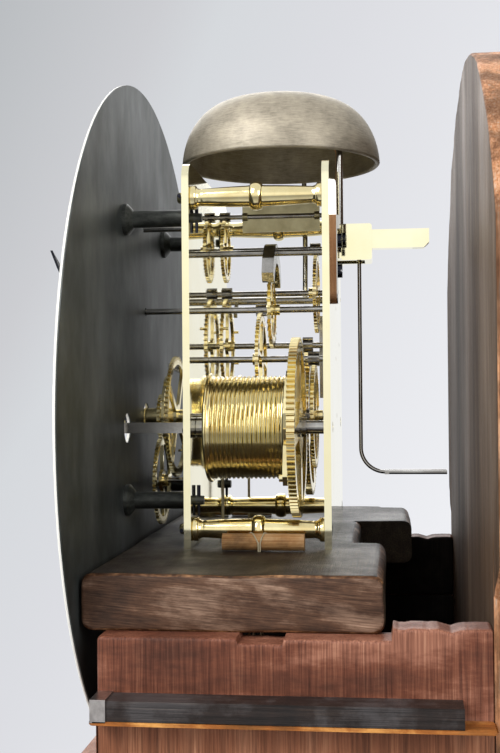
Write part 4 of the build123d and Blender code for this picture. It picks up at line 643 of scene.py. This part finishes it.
def worn(grid, size, depth, seed, detail=3):
    """Pushes the points of a board in and out along the way to its own middle line, by lattice noise."""
    middle = (grid.max(1, keepdims=True) + grid.min(1, keepdims=True)) / 2
    way = grid - middle
    length = np.linalg.norm(way, axis=-1, keepdims=True)
    push = depth * (lattice_noise(grid, size, seed, detail)[..., None] - wear_bias)
    return grid + way / np.maximum(length, 1e-9) * push * np.minimum(length / wear_core, 1)


def wood(name, stops, fibre_mm, ring_mm, roughness, stain, bump_mm=0.15, ring_share=0.2, slope=0.0,
         dirt="#4a3c36", stain_mm=(38, 38, 38)):
    """Old wood: fibres and slow growth bands drawn out along the grain, and dark stains. fibre_mm and
    ring_mm are the patterns' sizes along X, Y and Z, and slope leans them in the YZ plane, in degrees."""
    made, tree, shader, coordinates = material(name)
    leaned = add(tree, "ShaderNodeMapping", links={"Vector": (coordinates, "Object")},
                 Rotation=(math.radians(slope), 0.0, 0.0))
    fine, wide, spots = [
        noise(tree, leaned, size, detail, 0.66, "Vector")
        for size, detail in ((fibre_mm, 5.0), (ring_mm, 3.0), (stain_mm, 7.0))]
    mixed = add(tree, "ShaderNodeMix", links={"A": fine, "B": wide}, data_type="FLOAT", Factor=ring_share)
    spread = add(tree, "ShaderNodeMapRange", links={"Value": mixed}, From_Min=0.34, From_Max=0.66)
    tone = ramp(tree, spread, [(k / (len(stops) - 1), colour) for k, colour in enumerate(stops)])
    dark = ramp(tree, spots, ((0.40, "#ffffff"), (0.52, stain), (0.66, dirt)))
    shown = blend(tree, tone, dark, 0.85, "MULTIPLY")
    worn_shine = add(tree, "ShaderNodeMapRange", links={"Value": spots}, From_Min=0.35, From_Max=0.7,
                     To_Min=roughness - 0.10, To_Max=roughness + 0.12)
    shader.inputs["Specular IOR Level"].default_value = 0.22
    finish(tree, shader, spread, bump_mm, 0.6, {"Base Color": shown, "Roughness": worn_shine})
    return made


def faced(mesh, made, test):
    """Gives one more material to the faces whose middle and normal pass a test."""
    mesh.materials.append(made)
    for polygon in mesh.polygons:
        if test(polygon.center, polygon.normal):
            polygon.material_index = len(mesh.materials) - 1


board_oak = wood("oiled_old_oak", ("#2b251e", "#3e362c", "#4d4336", "#665742"), (26, 0.6, 0.6),
                 (180, 7, 7), 0.5, "#9d8c80", dirt="#5a4c44")
oak_end = wood("oak_end_grain", ("#46332a", "#6a5344", "#876c5a", "#ae917b"), (0.6, 14, 0.5), (20, 60, 5.0),
               0.5, "#a08a7a", 0.08, 0.35, 5.0, "#4d3d36", (22, 34, 16))
seat_low, seat_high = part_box("seatboard")
seat_round, seat_end_round, seat_end_zone = 0.0042, 0.0016, 0.003
notch_near, notch_far, notch_depth, tongue_depth = 0.0358, -0.0497, 0.0117, 0.013
tongue_end = -0.119
seat_back = seat_high.y - tongue_depth
corner_step = 0.0004
breaks = [place + step
          for place in (tongue_end, notch_far, notch_near) for step in (-corner_step, corner_step)]
even = np.linspace(seat_low.x + seat_end_round, seat_high.x - seat_end_round, 150)
x = np.unique(np.concatenate([even, breaks]))
back = np.where(x > notch_near, seat_back, seat_back - notch_depth)
back = np.where(x < notch_far, seat_high.y, back)
back = np.where(x < tongue_end, seat_back, back)
low = np.stack([np.full(x.shape, seat_low.y), np.full(x.shape, seat_low.z)], -1)
high = np.stack([back, np.full(x.shape, seat_high.z)], -1)
grid = plank(x, low, high, np.full(x.shape, seat_round), (60, 12), seat_end_round, [0, 1, 2])
grid = worn(grid, (0.06, 0.02, 0.012), 0.0005, 3)
mesh = mesh_of("seatboard_worn", [grid], (False, True), 50)
piece("seatboard_worn", mesh, "clock", board_oak, ["seatboard"])
faced(mesh, oak_end,
      lambda centre, normal: abs(normal.x) > 0.75 and abs(centre.x) > seat_high.x - seat_end_zone)
# The rounded edges take a lighter oak: real wear from handling, and a painted highlight where the round
# catches the light.
worn_and_lit_oak = wood("worn_oak_edge_and_highlight", ("#4a3626", "#6b4c34", "#8a6443", "#a57d58"), (3, 3, 0.6), (12, 12, 3), 0.5,
                "#8b7566", stain_mm=(12, 12, 12))
faced(mesh, worn_and_lit_oak, lambda centre, normal: 0.30 < abs(normal.z) < 0.90)


# Backboard: one wide elm board the height of the case, with a round-topped head wider than the trunk.
# It is carried across X. Its outline's top and bottom at each X are worked out from arc and ramp.
back_wood = wood("old_elm_board", ("#3c2f26", "#594738", "#6d5a48", "#826c59"), (0.7, 0.7, 34),
                 (9, 9, 260), 0.6, "#b5a598", dirt="#7a685c", stain_mm=(70, 70, 420))
sawn_edge = wood("sawn_elm_edge", ("#80573e", "#b47a52", "#cf9870", "#c6b19e"), (0.8, 0.8, 22),
                 (6, 6, 30), 0.65, "#9a9da0", dirt="#56504c", stain_mm=(16, 16, 26))
board_low, board_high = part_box("backboard")
trunk_half = 0.136
head_half = board_high.x
shoulder_z, head_low_z, head_ramp = 1.694, 1.580, 0.014
rise = board_high.z - shoulder_z
crown_radius = (head_half ** 2 + rise ** 2) / (2 * rise)
edge_round = 0.0014
x = np.linspace(-head_half + edge_round, head_half - edge_round, 260)
top = board_high.z - crown_radius + np.sqrt(crown_radius ** 2 - x ** 2)
ramped = head_low_z - head_ramp * (head_half - np.abs(x)) / (head_half - trunk_half)
foot = np.where(np.abs(x) > trunk_half, ramped, board_low.z)
low = np.stack([np.full(x.shape, board_low.y), foot], -1)
high = np.stack([np.full(x.shape, board_high.y), top], -1)
grid = plank(x, low, high, np.full(x.shape, edge_round), (4, 40), edge_round, [0, 1, 2])
grid[..., 1] += 0.0003 * lattice_noise(grid, (0.02, 0.02, 0.2), 5)
mesh = mesh_of("backboard_sawn", [grid], (False, True), 50)
piece("backboard_sawn", mesh, "clock", back_wood, ["backboard"])
faced(mesh, sawn_edge, lambda centre, normal: abs(normal.y) < 0.85)


# Case sides: stained pine boards whose tops rise as cheeks beside the seatboard. The tops are broken and
# chipped, and step up behind the board. Below the rail a thin skin stands proud of each side, and a bare
# ledge runs between the two. Each board is carried from front to back.
case_wood = wood("stained_pine", ("#623e31", "#835543", "#9a6752", "#b3836a"), (0.7, 0.7, 30), (8, 8, 300),
                 0.5, "#b39a8c", 0.10, dirt="#6b5850", stain_mm=(26, 60, 18))
# A lighter, warmer copy of the stained pine for the outer faces below the rail and the lower case: painted
# light, as if these faces were more brightly lit.
lit_low_pine = wood("stained_pine_lower_painted_light", ("#6b4734", "#96684e", "#b07c5e", "#c69674"), (0.7, 0.7, 30),
                (8, 8, 300), 0.45, "#c4ab9c", 0.10, dirt="#8f7768", stain_mm=(60, 60, 420))
sides_low, sides_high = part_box("case_sides")
cheek_thickness = 0.016
cheek_top, cheek_step, step_front = seat_low.z, sides_high.z, seat_back + 0.002
y = np.linspace(sides_low.y + edge_round, sides_high.y - edge_round, 220)
chips = lattice_noise(np.stack([y, y * 0, y * 0], -1), 0.006, 11, 4)
chip_from, chip_to, chip_depth, step_chip_depth, cheek_proud = 0.0025, 0.0186, 0.0022, 0.0010, 0.0002
stepped = cheek_step + step_chip_depth * np.minimum(chips, 0.0)
top = np.where(y > step_front, stepped, cheek_top + cheek_proud)
top = top - chip_depth * ((y > chip_from) & (y < chip_to)) * (0.8 + 0.2 * chips)
low = np.full(y.shape, sides_low.z)
grids = []
rail_low, rail_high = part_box("hood_rails")
ledge_proud = 0.0005
skin, ledge, ledge_height, skin_top = 0.0011, rail_high.x - sides_high.x + ledge_proud, 0.0015, rail_low.z
split = skin_top - ledge_height
inner, outer = sides_high.x - cheek_thickness, sides_high.x
least_flat, ledge_margin = 0.0001, 0.001
for side in (-1, 1):
    for near, far, z0, z1 in ((inner, outer, low, split), (inner, outer, split, top),
                              (outer, outer + skin, low, split), (outer, outer + ledge, split, skin_top)):
        x0, x1 = sorted((side * near, side * far))
        first = np.stack([np.full(y.shape, x0), np.full(y.shape, z0)], -1)
        second = np.stack([np.full(y.shape, x1), np.full(y.shape, z1)], -1)
        edge = np.full(y.shape, min(edge_round, (x1 - x0) / 2 - least_flat))
        grids.append(plank(y, first, second, edge, (4, 20), edge_round, [1, 0, 2]))
mesh = mesh_of("case_sides_chipped", grids, (False, True), 50)
piece("case_sides_chipped", mesh, "clock", case_wood, ["case_sides"])
# Near-black wood for the inner faces of the sides: painted shade inside the case.
shaded_inside = wood("painted_shade_inside", ("#120e0c", "#1a1512", "#231c18", "#2b231e"), (0.7, 0.7, 30), (8, 8, 300),
             0.8, "#8a8a8a")
# The ledge is bare pine, and its bright colours are also a painted highlight along the lit ledge.
lit_edge = wood("bare_pine_edge_painted_highlight", ("#a8703c", "#c68a4a", "#d89a52", "#e2ac68"), (0.7, 12, 0.7), (4, 60, 4),
                0.5, "#b08a68")
faced(mesh, shaded_inside, lambda centre, normal: normal.x * centre.x < 0 and abs(normal.x) > 0.5)
faced(mesh, lit_edge,
      lambda centre, normal: split < centre.z < skin_top + ledge_margin and abs(centre.x) > sides_high.x)
# Painted light: the outer faces below the rail and the trunk's parts take the lighter copy.
faced(mesh, lit_low_pine, lambda centre, normal: centre.z < split and normal.x * centre.x > 0)
for node in ("trunk_frame", "case_mouldings", "case_base", "trunk_door"):
    dress(node, lit_low_pine)


# Hood rails: oak, nearly black, drawn from front to back.
rail_wood = wood("black_rail_oak", ("#2c2a2a", "#3d3a3a", "#4b4747", "#5e5650"), (0.6, 26, 0.6),
                 (8, 160, 8), 0.40, "#8b7264")
dress("hood_rails", rail_wood)

# Rail caps: folded tinned sheet, gone dull.
cap_tin = steel("tinned_sheet", "#d6d0cc", "#a39d9a", 0.32, 4.0)
dress("rail_caps", cap_tin)

# Line toggles: pegs split from pale pine.
pine = wood("split_pine", ("#a3794d", "#c2986a", "#d8b487", "#e6cba2"), (0.5, 18, 0.5), (4, 60, 4), 0.55,
            "#dcc4a4")
dress("line_toggles", pine)


# Gut lines: twisted gut, waxed, a dull straw colour.
waxed_gut, tree, shader, coordinates = material("waxed_gut")
twist = noise(tree, coordinates, (0.8, 0.8, 2.0))
tone = ramp(tree, twist, ((0.3, "#b5a886"), (0.7, "#d8cdb0")))
shader.inputs["Roughness"].default_value = 0.45
finish(tree, shader, twist, 0.05, 0.4, {"Base Color": tone})
dress("gut_lines", waxed_gut)


# The lines' ends on the seatboard: a loop laid over the near toggle, and turns wound on the far one.
def tube(points, radius, segments=8):
    """A round cord through points: each ring stands square to the way past its point."""
    points = np.array(points, float)
    ways = np.gradient(points, axis=0)
    ways /= np.linalg.norm(ways, axis=1, keepdims=True)
    first = np.cross(ways, (0.31, 0.11, 0.94))
    first /= np.linalg.norm(first, axis=1, keepdims=True)
    second = np.cross(ways, first)
    t = np.linspace(0, 2 * np.pi, segments, endpoint=False)[None, :, None]
    return points[:, None] + radius * (np.cos(t) * first[:, None] + np.sin(t) * second[:, None])


toggle_x, toggle_radius, loop_radius = 0.0625, 0.0035, 0.0003
loop_ends = ((0.0290, 0.0322), (0.0346, 0.0330))
seat_top = seat_high.z
plate_y = front_low.y
reach = toggle_radius + loop_radius
grids = []
for start, end in loop_ends:
    t = np.linspace(-0.3, 1.0, 14)
    over = np.stack([toggle_x + reach * np.sin(t * np.pi / 2), plate_y + start + (end - start) * t,
                     seat_top + (toggle_radius + reach * np.cos(t * np.pi / 2))], -1)
    fall = np.linspace(0, 1, 5)
    down = np.stack([np.full(5, toggle_x + reach), np.full(5, plate_y + end),
                     seat_top + toggle_radius * (1 - fall)], -1)
    grids += [tube(over, loop_radius), tube(down, loop_radius)]
wound_x, wound_radius, wound_turns, wound_gut = -0.072, 0.0031, 8, 0.0005
wound_from, wound_length = 0.0115, 0.0090
reach = wound_radius + wound_gut
t = np.linspace(0, 1, wound_turns * 16)
angle = 2 * np.pi * wound_turns * t
wound = np.stack([wound_x + reach * np.cos(angle), plate_y + wound_from + wound_length * t,
                  seat_top + wound_radius + reach * np.sin(angle)], -1)
grids.append(tube(wound, wound_gut))
piece("gut_ends", mesh_of("gut_ends", grids, (False, True), 60), "clock", waxed_gut)


# Dial front: plain figures and a minute ring in black paint on the white, all on the hour ring's radii.
figure_paint, tree, shader, coordinates = material("black_dial_paint")
shader.inputs["Base Color"].default_value = hex_colour("#1d1b1a")
shader.inputs["Roughness"].default_value = 0.4
dial_middle = node_centre("dial_plate")
dial_radius = (dial_high.x - dial_low.x) / 2
paint_gap = 0.00012
figure_face = dial_low.y - paint_gap
figure_radius, figure_size = dial_radius * 0.70, dial_radius * 0.19
figure_wide, figure_high = 0.8, 1.25
hour_tick_half, tick_half = 0.0011, 0.0005
rings = [(0.860, 0.866), (0.905, 0.911)]
grids = [turned([(figure_face, dial_radius * a), (figure_face, dial_radius * b)], 0.0, dial_middle.z, 180)
         for a, b in rings]
for minute in range(60):
    angle, half_wide = minute * math.pi / 30, hour_tick_half if minute % 5 == 0 else tick_half
    outward = np.array([math.sin(angle), 0, math.cos(angle)])
    along = np.array([math.cos(angle), 0, -math.sin(angle)])
    corners = [[dial_radius * r * outward + w * along for w in (-half_wide, half_wide)]
               for r in (rings[0][1], rings[1][0])]
    grids.append(np.array(corners) + (0.0, figure_face, dial_middle.z))
verts, faces = [], []
for hour, body in enumerate(("XII", "I", "II", "III", "IIII", "V", "VI", "VII", "VIII", "IX", "X", "XI")):
    letters = bpy.data.curves.new("figure", "FONT")
    letters.body, letters.size = body, figure_size
    letters.align_x, letters.align_y = "CENTER", "CENTER"
    holder = bpy.data.objects.new("figure", letters)
    bpy.context.collection.objects.link(holder)
    bpy.context.view_layer.update()
    flat = bpy.data.meshes.new_from_object(holder)
    bpy.data.objects.remove(holder)
    angle, start = hour * math.pi / 6, len(verts)
    for vertex in flat.vertices:
        across, out = vertex.co.x * figure_wide, figure_radius + vertex.co.y * figure_high
        verts.append((across * math.cos(angle) + out * math.sin(angle), figure_face,
                      dial_middle.z + out * math.cos(angle) - across * math.sin(angle)))
    faces += [[start + v for v in polygon.vertices] for polygon in flat.polygons]
ring_mesh = mesh_of("dial_figures", grids)
whole = bmesh.new()
whole.from_mesh(ring_mesh)
added = [whole.verts.new(v) for v in verts]
for face in faces:
    whole.faces.new([added[v] for v in face])
bmesh.ops.recalc_face_normals(whole, faces=whole.faces)
whole.to_mesh(ring_mesh)
whole.free()
piece("dial_figures", ring_mesh, "clock", figure_paint)

low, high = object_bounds()
